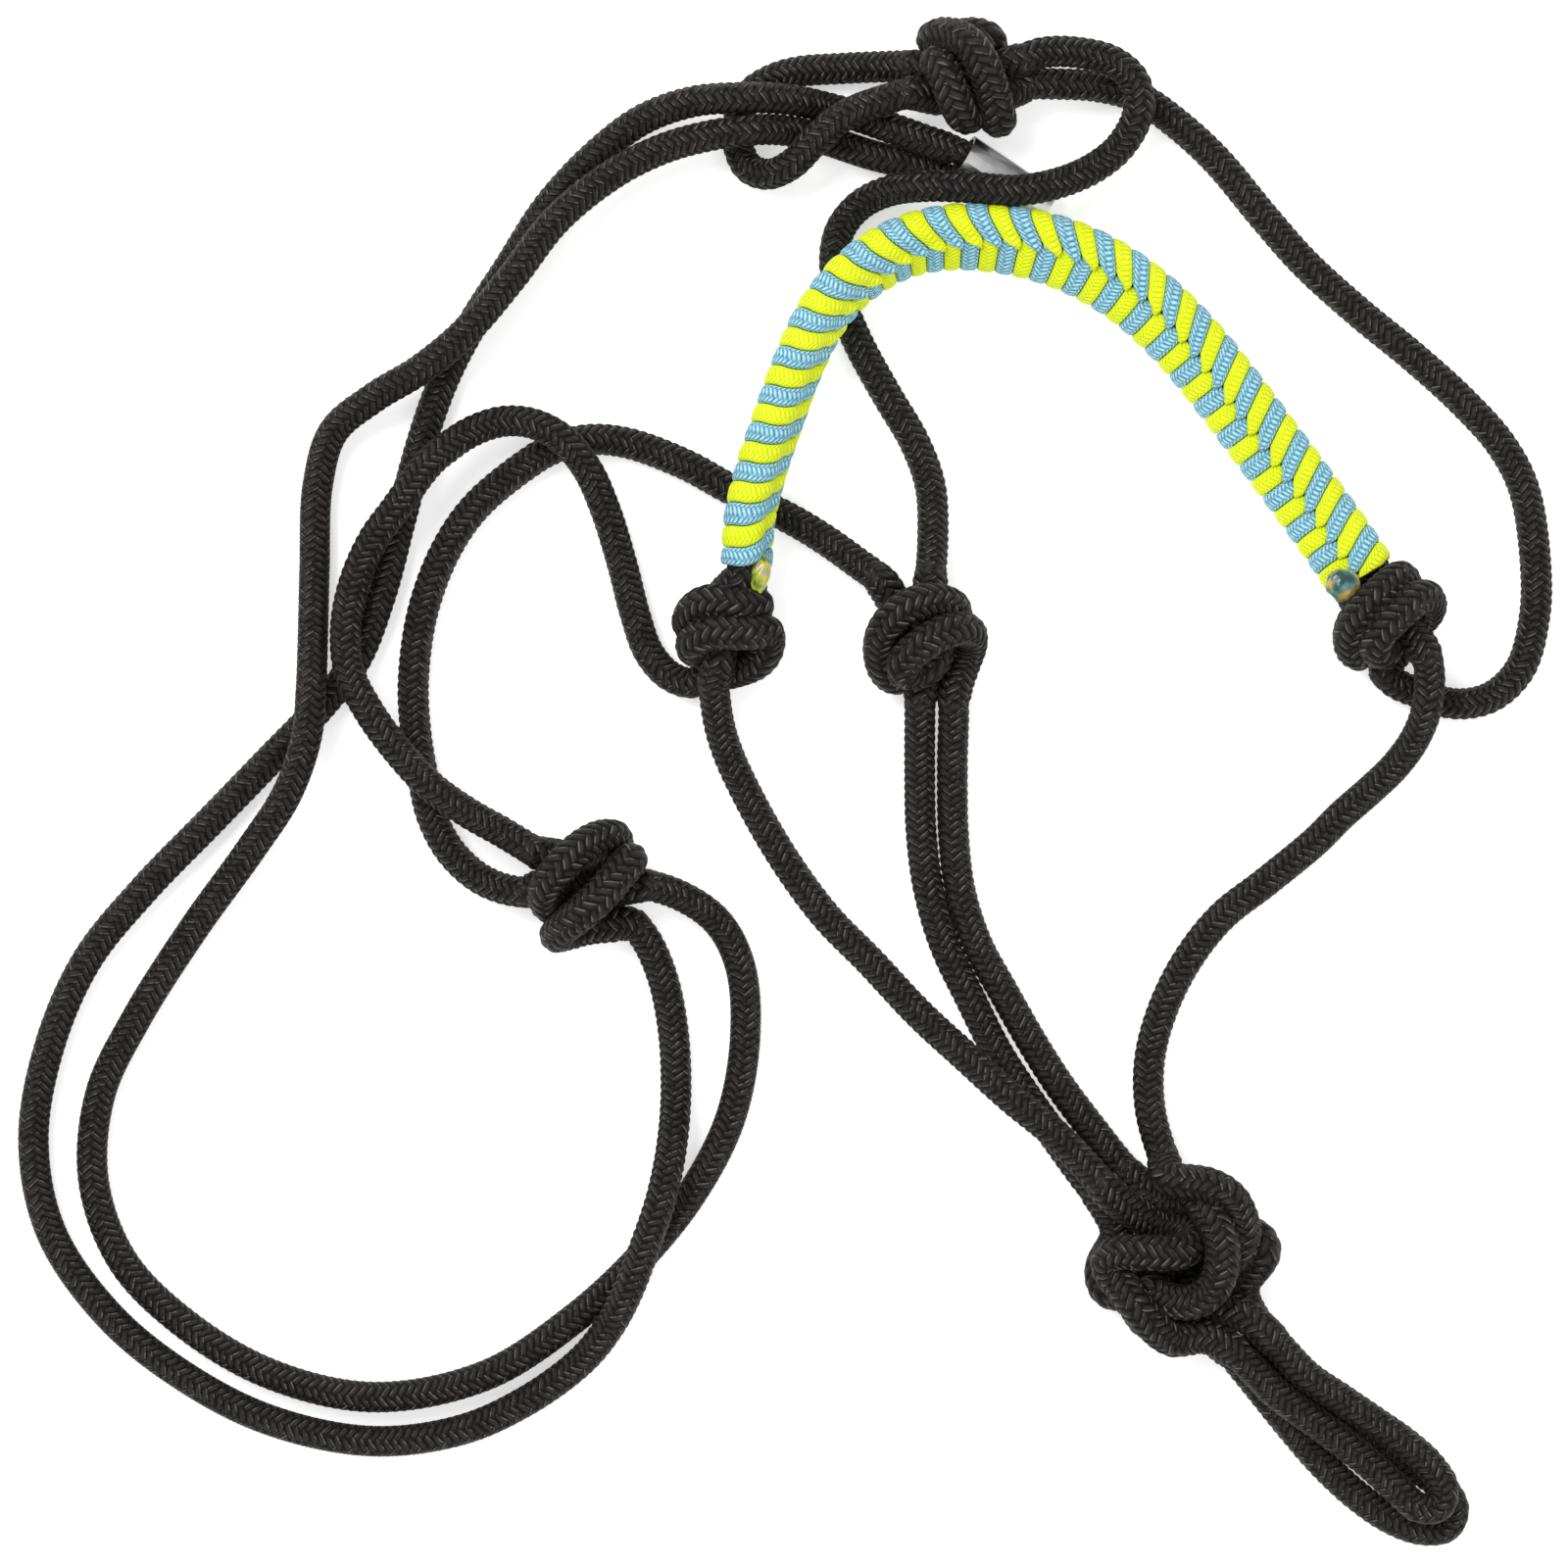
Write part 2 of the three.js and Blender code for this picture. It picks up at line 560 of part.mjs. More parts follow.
function addKnot(name, middle, coreSize, turns) {
  const core = new THREE.SphereGeometry(1, 12, 8);
  core.scale(coreSize[0] / 2, coreSize[1] / 2, coreSize[2] / 2);
  const pieces = [core, ...turns.map(ropeTurn)];
  pieces.forEach((piece) => piece.translate(...middle));
  const whole = joined([...pieces, ...ropeEnds[name]]);
  const aboveFloor = FLOOR_BLOCK.clone().translate(middle[0], middle[1], 30);
  addNode(name, geometryFrom(whole.intersect(solidFrom(aboveFloor))), makeRopeMaterial());
}

addKnot("nose_knot_left", [-13.8, 40, 11.8], [22, 18, 26], [
  { at: [-1, 3.4, 0], radius: 8.4, turn: 84 },
  { at: [1, -3.6, 0], radius: 8.2, turn: 96 },
]);
addKnot("nose_knot_right", [152, 43, 11.8], [20, 18, 26], [
  { at: [-2, 3, 0], radius: 8.2, turn: 115 },
  { at: [2, -3.4, 0], radius: 8.2, turn: 125 },
]);
addKnot("throat_knot", [35.5, 36.3, 11.8], [23, 20, 26], [
  { at: [-1.5, 3.6, 0], radius: 8.6, turn: 108 },
  { at: [1.5, -3.8, 0], radius: 8.6, turn: 115 },
]);
addKnot("crown_knot", [-50, -25, 11.8], [22, 24, 26], [
  { at: [-3.6, 2, 0], radius: 9, turn: -32 },
  { at: [4, -2, 0], radius: 9, turn: -38 },
]);
addKnot("eye_knot", [46.3, 178.8, 11.8], [17, 22, 26], [
  { at: [-3.6, 0, 0], radius: 9.2, turn: 14 },
  { at: [3.4, 0, 0], radius: 9, turn: 18 },
]);
addKnot("fiador_knot", [102, -119.5, 12.6], [35, 33, 28.6], [
  { at: [3, 6.5, 1], radius: 9, wide: 0.9, tilt: 70, turn: 30 },
  { at: [9, -3, 0], radius: 9, wide: 0.9, tilt: 60, turn: -40 },
  { at: [-8, -2, 0], radius: 9.5, wide: 0.9, tilt: 55, turn: 80 },
  { at: [-3, -9, 0], radius: 8.6, wide: 0.9, tilt: 50, turn: 10 },
]);

export default halter;
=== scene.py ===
import math

import bpy
import numpy as np
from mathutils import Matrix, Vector


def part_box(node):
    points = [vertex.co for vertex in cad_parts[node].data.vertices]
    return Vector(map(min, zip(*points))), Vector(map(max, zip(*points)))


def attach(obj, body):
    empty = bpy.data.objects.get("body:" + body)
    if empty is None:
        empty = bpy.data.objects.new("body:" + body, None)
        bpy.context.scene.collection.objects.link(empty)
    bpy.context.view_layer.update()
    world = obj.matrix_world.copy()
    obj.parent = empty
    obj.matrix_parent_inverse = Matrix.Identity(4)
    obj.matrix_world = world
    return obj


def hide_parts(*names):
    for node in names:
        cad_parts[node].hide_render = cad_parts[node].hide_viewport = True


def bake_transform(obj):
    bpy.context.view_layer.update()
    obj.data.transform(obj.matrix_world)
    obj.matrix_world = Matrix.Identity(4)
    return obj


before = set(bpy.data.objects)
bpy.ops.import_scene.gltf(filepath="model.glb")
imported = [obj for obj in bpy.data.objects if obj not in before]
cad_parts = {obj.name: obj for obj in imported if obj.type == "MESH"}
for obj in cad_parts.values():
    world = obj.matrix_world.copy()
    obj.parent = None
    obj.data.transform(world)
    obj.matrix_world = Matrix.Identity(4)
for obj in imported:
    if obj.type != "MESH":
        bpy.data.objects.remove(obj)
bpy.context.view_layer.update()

# ---- Sizes, in metres unless the name says otherwise ----

ROPE_RADIUS = 0.00372
BRAID_RELIEF = 0.00058
ROPE_STRANDS = 8
BRAID_LOW = 0.35
BRAID_ARCH = 0.6
BRAID_MEAN = 0.4
PICK = 0.0021
AROUND = 48
STEP = 0.00044
ROUTE_SPACING = 0.0005

KNOT_STUB = 0.0140
FIADOR_STUB = 0.0240
KNOT_RADIUS = 0.00425
KNOT_END_RADIUS = 0.0032
KNOT_SWELL = 0.006

# Where a knot's strands leave the ropes that run into it, measured from the knot's middle.
TIE_JOIN = 0.017
FIADOR_JOIN = 0.027
CORE_JOIN = 0.015
LEAD_LOOK_BACK = 0.002

# How the strands in a knot settle against each other.
TIE_SPACING = 0.0025
TIE_DRAWN_SPACING = 0.0036
TIE_DECIMALS = 4
TIE_HELD = 3
TIE_CONTACT = 0.0069
TIE_APART = 0.013
TIE_FLOOR = 0.0041
TIE_ROUNDS = 14
FIADOR_ROUNDS = 6
LENGTH_PASSES, LENGTH_SHARE = 3, 0.5
CONTACT_PASSES, CONTACT_SHARE = 2, 0.9
BEND_SHARE = 0.28

# How the two tails are squeezed in the ferrule.
SQUEEZE_FROM_END = 0.012
SQUEEZE_OVER = 0.007
SQUEEZE = 0.0009

CORE_RADIUS = 0.0032
CORE_OFFSET = 0.00385
CORE_END = 0.0115
ROLL_LEFT = math.radians(74)
ROLL_RIGHT = math.radians(6)
ROLL_FROM, ROLL_TO = 0.22, 0.72

WRAP_START = 0.0155
WRAP_END = 0.0128
FLOOR_GAP = 0.0001
HITCHES = 50
RIBBON_MIDDLE = 0.00455
RIBBON_THICKNESS = 0.0019
RIBBON_RELIEF = 0.00013

# Rope routes, in metres: the CAD model's points, but six of the lead loop's lie up to 2.4 mm from them.
ROUTES = {
    "chin_rope_left": [
        (-.014, .04, .012), (-.0175, .031, .0125), (-.0173, .02, .009), (-.015, .0098, .006),
        (-.0083, -.0048, .0042), (.0008, -.0203, .004), (.0108, -.0338, .004),
        (.0218, -.045, .005), (.0343, -.0583, .008), (.0465, -.0695, .0116),
        (.0575, -.0795, .0126), (.0688, -.0888, .0128), (.078, -.0985, .0128),
        (.0855, -.1075, .013), (.098, -.119, .013),
    ],
    "throat_rope_left": [
        (.0345, .0363, .012), (.0345, .022, .009), (.0345, .0043, .0045), (.0349, -.0125, .004),
        (.0368, -.027, .004), (.0409, -.041, .004), (.0474, -.0546, .004), (.0542, -.068, .004),
        (.0613, -.079, .004), (.0694, -.0904, .004), (.0776, -.1016, .0044), (.087, -.112, .0055),
        (.097, -.121, .007),
    ],
    "throat_rope_right": [
        (.04, .0363, .012), (.0428, .0233, .009), (.0428, .0043, .0045), (.0431, -.0125, .004),
        (.0448, -.027, .004), (.049, -.0403, .004), (.056, -.0532, .004), (.0633, -.066, .004),
        (.0702, -.0768, .004), (.0782, -.0875, .0042), (.0867, -.0982, .005), (.095, -.107, .0065),
        (.104, -.117, .008),
    ],
    "chin_rope_right": [
        (.152, .042, .012), (.1605, .037, .0134), (.1632, .0293, .0132), (.1628, .02, .0128),
        (.1603, .012, .009), (.1555, .0048, .006), (.1495, -.0012, .0044), (.1418, -.008, .004),
        (.1353, -.0145, .004), (.1225, -.025, .004), (.1113, -.0338, .004), (.1025, -.045, .004),
        (.0963, -.0575, .004), (.093, -.07, .0046), (.093, -.0825, .007), (.0963, -.095, .0105),
        (.1005, -.105, .013), (.103, -.119, .013),
    ],
    "cheek_rope_right": [
        (.152, .042, .01), (.1505, .033, .006), (.1545, .0265, .0042), (.162, .023, .004),
        (.171, .0204, .004), (.18, .0222, .004), (.1873, .0293, .004), (.1909, .042, .004),
        (.1913, .0548, .004), (.1883, .075, .004), (.1825, .0863, .004), (.1725, .0975, .004),
        (.16, .1088, .004), (.1463, .12, .004), (.1325, .1325, .004), (.1225, .1438, .004),
        (.11, .1588, .004), (.1, .168, .004), (.0905, .1745, .0042), (.08, .1772, .006),
        (.07, .1776, .0085), (.062, .1776, .0095), (.0463, .178, .01),
    ],
    "throat_rope_to_eye": [
        (.036, .038, .012), (.0368, .0495, .012), (.0378, .062, .007), (.0372, .0758, .0043),
        (.0333, .0868, .004), (.026, .0993, .004), (.0188, .1125, .004), (.0148, .1225, .004),
        (.0128, .133, .004), (.0143, .141, .0043), (.0192, .147, .006), (.0265, .1503, .01),
        (.036, .151, .016), (.0473, .1505, .0176), (.0583, .1498, .017), (.0693, .152, .0132),
        (.079, .1565, .0095), (.0855, .162, .0095), (.0896, .17, .0126), (.0888, .1775, .0134),
        (.0835, .1826, .0134), (.0745, .185, .0134), (.0648, .1848, .014), (.057, .1815, .014),
        (.0463, .178, .013),
    ],
    "throat_rope_to_crown": [
        (.033, .04, .012), (.026, .0503, .01), (.0183, .0565, .0065), (.0095, .0628, .0043),
        (.001, .0678, .004), (-.0075, .072, .004), (-.015, .0758, .004), (-.0253, .0814, .004),
        (-.04, .0868, .004), (-.05, .0876, .004), (-.0588, .0853, .004), (-.066, .081, .004),
        (-.0785, .0705, .004), (-.0863, .059, .004), (-.092, .0435, .004), (-.0943, .0265, .004),
        (-.0938, .014, .004), (-.092, .0025, .004), (-.0895, -.0085, .004),
        (-.0843, -.0178, .0045), (-.0758, -.0248, .0065), (-.065, -.0275, .009),
        (-.05, -.025, .01),
    ],
    "cheek_rope_left": [
        (-.014, .038, .008), (-.0175, .03, .0055), (-.023, .0258, .0042), (-.029, .0275, .004),
        (-.0343, .0333, .004), (-.0378, .0428, .004), (-.0412, .056, .0043), (-.0455, .07, .0082),
        (-.05, .08, .012), (-.0563, .0875, .0128), (-.064, .0914, .0116), (-.0715, .0919, .01),
        (-.079, .0894, .0102), (-.0855, .085, .0118), (-.09, .081, .0127), (-.0985, .0695, .0126),
        (-.104, .062, .0117), (-.1088, .0513, .011), (-.111, .0398, .0116), (-.11, .0283, .0126),
        (-.1053, .0188, .0124), (-.0985, .0093, .0127), (-.09, 0, .0126), (-.0805, -.007, .011),
        (-.071, -.0124, .0106), (-.062, -.0178, .0125), (-.05, -.025, .013),
    ],
    "crown_rope_a": [
        (-.05, -.025, .013), (-.038, -.025, .012), (-.026, -.0285, .008), (-.0165, -.0355, .005),
        (-.011, -.047, .004), (-.01, -.066, .004), (-.014, -.086, .004), (-.024, -.105, .004),
        (-.0375, -.1215, .004), (-.054, -.1365, .004), (-.076, -.1505, .004),
        (-.1043, -.156, .004), (-.131, -.15, .004), (-.1535, -.1365, .004), (-.1685, -.121, .004),
        (-.1757, -.101, .004), (-.174, -.079, .004), (-.165, -.06, .004), (-.15, -.0365, .0044),
        (-.1355, -.0168, .008), (-.1258, -.0023, .0115), (-.1208, .012, .0128),
        (-.1198, .024, .0116), (-.1196, .038, .0075), (-.1194, .055, .0048), (-.1186, .076, .0048),
        (-.1145, .0895, .0064), (-.104, .098, .0094), (-.092, .105, .0122), (-.0805, .1145, .0128),
        (-.069, .128, .0126), (-.0575, .143, .0118), (-.043, .1548, .0104), (-.0305, .161, .011),
        (-.019, .164, .013), (-.009, .1654, .0132), (.001, .1658, .0076), (.01, .164, .0044),
        (.0217, .1602, .0042), (.0327, .1574, .0044), (.0423, .1544, .0046),
    ],
    "crown_rope_b": [
        (-.05, -.027, .009), (-.042, -.032, .007), (-.0355, -.039, .0048), (-.031, -.049, .004),
        (-.0282, -.063, .004), (-.0275, -.079, .0044), (-.0285, -.092, .0084),
        (-.031, -.1045, .0124), (-.035, -.1165, .0128), (-.0398, -.129, .0118),
        (-.0446, -.138, .008), (-.0515, -.1466, .005), (-.065, -.1566, .004),
        (-.082, -.1643, .004), (-.105, -.1672, .004), (-.131, -.1618, .004), (-.153, -.1505, .004),
        (-.172, -.135, .004), (-.1865, -.114, .004), (-.191, -.091, .004), (-.187, -.067, .004),
        (-.1775, -.045, .004), (-.163, -.027, .004), (-.146, -.0095, .004), (-.131, .006, .004),
        (-.119, .0185, .004), (-.109, .0315, .004), (-.1026, .048, .004), (-.0973, .068, .004),
        (-.0925, .086, .004), (-.0865, .103, .004), (-.0793, .117, .004), (-.07, .1315, .004),
        (-.06, .147, .0042), (-.048, .1598, .0052), (-.036, .1686, .008), (-.023, .1728, .012),
        (-.011, .1736, .0132), (0, .1736, .0102), (.01, .1722, .0052), (.019, .1696, .0062),
        (.029, .1658, .009), (.037, .1628, .0102), (.0456, .1599, .0104),
    ],
    "eye_loop": [
        (.0463, .179, .014), (.0348, .1818, .011), (.0253, .1822, .007), (.0143, .182, .0045),
        (.004, .1813, .004), (-.0025, .1795, .004), (-.0082, .176, .004), (-.011, .1715, .004),
        (-.0118, .1665, .004), (-.0114, .1615, .0042), (-.009, .1568, .005), (-.004, .1548, .0078),
        (.002, .157, .0116), (.007, .1618, .0136), (.0128, .1672, .0146), (.018, .1703, .015),
        (.024, .1725, .0148), (.0305, .1745, .014), (.038, .1765, .013), (.0463, .178, .012),
    ],
    "lead_loop_top": [
        (.1255, -.1425, .0128), (.1325, -.1498, .0126), (.141, -.1556, .0124),
        (.1495, -.1614, .0124), (.1575, -.167, .0124), (.1636, -.1726, .0124),
        (.167, -.1784, .0124), (.1654, -.183, .0124), (.1604, -.183, .0122), (.1546, -.1779, .011),
        (.147, -.1712, .01), (.1364, -.1630, .011), (.1245, -.1542, .0124), (.116, -.1454, .0128),
    ],
    "lead_loop_bottom": [
        (.1245, -.1436, .004), (.1305, -.1506, .004), (.1368, -.1573, .004), (.1477, -.1650, .004),
        (.159, -.1728, .004), (.167, -.1785, .004), (.1704, -.1844, .004), (.1685, -.189, .004),
        (.1625, -.1898, .004), (.155, -.1873, .004), (.1463, -.1815, .004), (.1373, -.1732, .004),
        (.1288, -.1634, .004), (.1206, -.1532, .004), (.115, -.1462, .004),
    ],
    "noseband": [
        (-.0138, .04, .012), (-.0098, .054, .0148), (-.0086, .0675, .0172), (-.0055, .08, .0178),
        (-.0013, .0925, .0178), (.0038, .1063, .0176), (.01, .1188, .017), (.018, .128, .0164),
        (.0288, .135, .0152), (.04, .138, .014), (.052, .1382, .0132), (.065, .136, .0124),
        (.0775, .1315, .0104), (.09, .1238, .0082), (.102, .1126, .0066), (.112, .1005, .0062),
        (.1225, .0865, .0062), (.135, .0695, .007), (.1435, .057, .0092), (.152, .043, .012),
    ],
}

# The rope inside each knot. Each strand runs from the start or end of one rope to that of another, through
# the listed points.
KNOTS = {
    "nose_knot_left": [
        (("chin_rope_left", "start"), ("outer_core", "start"), [
            (-.0173, .034, .012), (-.016, .04, .009), (-.01, .0445, .009), (-.006, .0465, .013),
            (-.01, .0482, .018), (-.0165, .0478, .021), (-.022, .045, .0185),
            (-.0245, .0405, .012), (-.021, .036, .006), (-.016, .038, .005), (-.013, .045, .007),
        ]),
        (("cheek_rope_left", "start"), ("inner_core", "start"), [
            (-.016, .031, .005), (-.01, .0296, .008), (-.0055, .031, .0125), (-.0036, .0355, .013),
            (-.0043, .0403, .017), (-.0105, .0398, .0215), (-.0175, .0389, .0215),
            (-.0228, .0368, .017), (-.0238, .0345, .0105), (-.018, .0345, .007),
            (-.012, .039, .007), (-.01, .046, .009),
        ]),
    ],
    "nose_knot_right": [
        (("chin_rope_right", "start"), ("outer_core", "end"), [
            (.158, .0375, .012), (.157, .043, .0095), (.1585, .05, .009), (.156, .0533, .014),
            (.1528, .05, .019), (.1465, .045, .0205), (.1425, .0395, .0165), (.1435, .0345, .012),
            (.148, .0318, .008), (.152, .036, .005), (.1495, .044, .006),
        ]),
        (("cheek_rope_right", "start"), ("inner_core", "end"), [
            (.153, .034, .006), (.158, .04, .0055), (.163, .044, .009), (.163, .0483, .014),
            (.16, .0476, .019), (.1555, .0436, .0215), (.1505, .039, .021), (.1482, .035, .017),
            (.151, .033, .011), (.154, .0365, .0075), (.15, .042, .009),
        ]),
    ],
    "throat_knot": [
        (("throat_rope_left", "start"), ("throat_rope_to_crown", "start"), [
            (.0345, .028, .009), (.036, .036, .007), (.042, .0415, .009), (.0438, .0442, .013),
            (.0408, .0464, .0175), (.0358, .0469, .0205), (.029, .0438, .0215),
            (.0244, .038, .018), (.0237, .0328, .014), (.0267, .0274, .011), (.0315, .0265, .007),
            (.034, .032, .005), (.031, .04, .005),
        ]),
        (("throat_rope_right", "start"), ("throat_rope_to_eye", "start"), [
            (.044, .0275, .009), (.046, .032, .008), (.048, .037, .012), (.0458, .04, .018),
            (.041, .0388, .0215), (.0345, .0353, .0225), (.03, .031, .0205), (.0298, .0275, .015),
            (.0335, .0275, .011), (.038, .032, .01), (.0375, .041, .01),
        ]),
    ],
    "crown_knot": [
        (("cheek_rope_left", "end"), ("crown_rope_a", "start"), [
            (-.057, -.021, .007), (-.048, -.022, .006), (-.0415, -.017, .0085),
            (-.0423, -.013, .014), (-.0477, -.0133, .0185), (-.053, -.0172, .0215),
            (-.0583, -.0233, .0215), (-.0613, -.028, .017), (-.0595, -.032, .011),
            (-.054, -.031, .006), (-.046, -.027, .005),
        ]),
        (("throat_rope_to_crown", "end"), ("crown_rope_b", "start"), [
            (-.058, -.026, .009), (-.051, -.026, .0095), (-.044, -.0215, .01),
            (-.0388, -.0175, .013), (-.0388, -.0193, .018), (-.042, -.0235, .0215),
            (-.047, -.029, .0225), (-.053, -.0343, .0195), (-.0583, -.036, .014),
            (-.0583, -.034, .008), (-.051, -.035, .006), (-.0465, -.0363, .008),
        ]),
    ],
    "eye_knot": [
        (("eye_loop", "start"), ("throat_rope_to_eye", "end"), [
            (.038, .1815, .008), (.046, .1825, .0055), (.053, .185, .008), (.0536, .1882, .0125),
            (.049, .1895, .009), (.042, .1865, .0065), (.037, .1858, .009), (.0389, .1889, .014),
            (.0437, .1894, .018), (.0475, .1862, .0215), (.05, .182, .0225), (.052, .1765, .0205),
            (.0536, .1723, .015), (.052, .1705, .009), (.05, .175, .006),
        ]),
        (("eye_loop", "end"), ("cheek_rope_right", "end"), [
            (.038, .175, .007), (.0445, .174, .008), (.046, .18, .01), (.041, .184, .0105),
            (.0372, .183, .013), (.039, .1823, .018), (.0407, .1783, .021), (.0429, .1726, .0205),
            (.045, .1687, .016), (.0485, .1683, .01), (.05, .172, .008),
        ]),
    ],
    "fiador_knot": [
        (("chin_rope_right", "end"), ("lead_loop_top", "start"), [
            (.097, -.101, .016), (.1, -.1, .017), (.106, -.101, .018), (.112, -.104, .018),
            (.116, -.11, .017), (.1165, -.116, .014), (.113, -.121, .009), (.107, -.124, .007),
            (.103, -.128, .006), (.106, -.132, .007), (.111, -.133, .01), (.1165, -.134, .0125),
        ]),
        (("throat_rope_right", "end"), ("lead_loop_bottom", "end"), [
            (.097, -.107, .006), (.104, -.104, .01), (.1075, -.1075, .017), (.1102, -.113, .02),
            (.1106, -.12, .0205), (.109, -.127, .0185), (.104, -.131, .0165), (.098, -.131, .014),
            (.091, -.128, .009), (.089, -.133, .006), (.095, -.138, .006), (.102, -.137, .006),
        ]),
        (("chin_rope_left", "end"), ("lead_loop_top", "end"), [
            (.088, -.109, .008), (.096, -.112, .006), (.104, -.1135, .009), (.1035, -.1175, .015),
            (.098, -.1185, .018), (.09, -.118, .018), (.083, -.1185, .015), (.081, -.122, .012),
            (.086, -.127, .0145), (.09, -.133, .016), (.0945, -.1385, .014), (.0995, -.141, .01),
            (.105, -.139, .011),
        ]),
        (("throat_rope_left", "end"), ("lead_loop_bottom", "start"), [
            (.086, -.114, .005), (.081, -.121, .005), (.081, -.128, .007), (.088, -.131, .006),
            (.096, -.125, .005), (.105, -.119, .005), (.113, -.115, .007), (.12, -.1145, .01),
            (.1227, -.1185, .011), (.1187, -.1225, .008), (.1155, -.128, .006),
            (.118, -.134, .0048),
        ]),
    ],
}


# ---- Lines ----

def lengths(line):
    """Distance along the line at each of its points."""
    return np.concatenate([[0], np.cumsum(np.linalg.norm(np.diff(line, axis=0), axis=1))])


def points_at(line, distances):
    """The points at these distances along the line."""
    along = lengths(line)
    return np.stack([np.interp(distances, along, line[:, k]) for k in range(3)], -1)


def resample(line, spacing):
    """The same line with evenly spaced points."""
    total = lengths(line)[-1]
    count = max(2, int(round(total / spacing)) + 1)
    return points_at(line, np.linspace(0, total, count))


def smooth_route(points, spacing):
    """A centripetal Catmull-Rom curve through the points."""
    points = np.asarray(points, float)
    ends = np.vstack([2 * points[0] - points[1], points, 2 * points[-1] - points[-2]])
    t = np.linspace(0, 1, 30, endpoint=False)[:, None]
    pieces = []
    for k in range(len(points) - 1):
        p0, p1, p2, p3 = ends[k:k + 4]
        chords = (p1 - p0, p2 - p1, p3 - p2)
        d0, d1, d2 = (max(np.linalg.norm(chord) ** 0.5, 1e-6) for chord in chords)
        m1 = ((p1 - p0) / d0 - (p2 - p0) / (d0 + d1) + (p2 - p1) / d1) * d1
        m2 = ((p2 - p1) / d1 - (p3 - p1) / (d1 + d2) + (p3 - p2) / d2) * d1
        cubic = 2 * p1 - 2 * p2 + m1 + m2
        square = 3 * p2 - 3 * p1 - 2 * m1 - m2
        pieces.append(cubic * t ** 3 + square * t ** 2 + m1 * t + p1)
    return resample(np.vstack(pieces + [points[-1:]]), spacing)


def part_of(line, start, end):
    """The line without its first and last lengths."""
    along = lengths(line)
    kept = (along > start) & (along < along[-1] - end)
    first, last = points_at(line, [start, along[-1] - end])
    return resample(np.vstack([first, line[kept], last]), STEP)


def smooth(x, start, end):
    """An even rise from 0 at start to 1 at end."""
    t = np.clip((x - start) / (end - start), 0, 1)
    return t * t * (3 - 2 * t)


def unit(v):
    """Each vector at length 1."""
    return v / np.linalg.norm(v, axis=-1, keepdims=True)


def facing_up(tangent):
    """The direction nearest +Z that is square to the tangent."""
    up = np.array([0.0, 0.0, 1.0]) - tangent * tangent[2]
    return unit(up)


def carried_frames(line):
    """Tangent, up and side at each point. Both ends face up, and any turn between them is spread evenly."""
    tangent = unit(np.gradient(line, axis=0))
    up = np.empty_like(line)
    up[0] = facing_up(tangent[0])
    for k in range(1, len(line)):
        carried = up[k - 1] - tangent[k] * np.dot(up[k - 1], tangent[k])
        up[k] = carried / np.linalg.norm(carried)
    end = facing_up(tangent[-1])
    turn = math.atan2(np.dot(np.cross(up[-1], end), tangent[-1]), np.dot(up[-1], end))
    angle = np.linspace(0, turn, len(line))[:, None]
    side = np.cross(tangent, up)
    turned = up * np.cos(angle) + side * np.sin(angle)
    return tangent, turned, np.cross(tangent, turned)


# ---- Meshes ----

def braid_height(turn, pick):
    """Height from 0 to 1 of a two-over, two-under tubular braid, turn round it and pick along it."""
    u = ROPE_STRANDS * turn + pick
    v = ROPE_STRANDS * turn - pick
    column = (np.floor(u) + np.floor(v)) % 4
    front = column < 2
    across = np.where(front, u % 1, v % 1)
    float_at = np.where(front, (np.floor(u) + v) % 4, (np.floor(v) + u) % 4 - 2) / 2
    crown = np.sqrt(np.clip(1 - (2 * across - 1) ** 2, 0, 1))
    arch = np.clip(np.sin(np.pi * np.clip(float_at, 0, 1)), 0, 1) ** BRAID_ARCH
    return crown * (BRAID_LOW + (1 - BRAID_LOW) * arch)


def mesh_object(name, vertices, faces, uvs):
    """A smooth-shaded mesh with its UV map Braid."""
    mesh = bpy.data.meshes.new(name)
    mesh.from_pydata(vertices.tolist(), [], faces)
    layer = mesh.uv_layers.new(name="Braid")
    layer.data.foreach_set("uv", np.asarray(uvs, np.float32).ravel())
    mesh.polygons.foreach_set("use_smooth", np.ones(len(faces), bool))
    mesh.update()
    piece = bpy.data.objects.new(name, mesh)
    bpy.context.scene.collection.objects.link(piece)
    return piece


def closed_grid(rings, around, along, first):
    """Faces and loop UVs of a closed tube of rings, whose vertices start at first."""
    faces, uvs = [], []
    for j in range(rings - 1):
        low, high = first + j * around, first + (j + 1) * around
        for i in range(around):
            k = (i + 1) % around
            faces.append((low + i, low + k, high + k, high + i))
            a, b = i / around, (i + 1) / around
            uvs += [(a, along[j]), (b, along[j]), (b, along[j + 1]), (a, along[j + 1])]
    start, end = first + rings * around, first + rings * around + 1
    last = first + (rings - 1) * around
    for i in range(around):
        k = (i + 1) % around
        faces.append((start, first + k, first + i))
        faces.append((end, last + i, last + k))
        uvs += [(0, along[0])] * 3 + [(0, along[-1])] * 3
    return faces, uvs


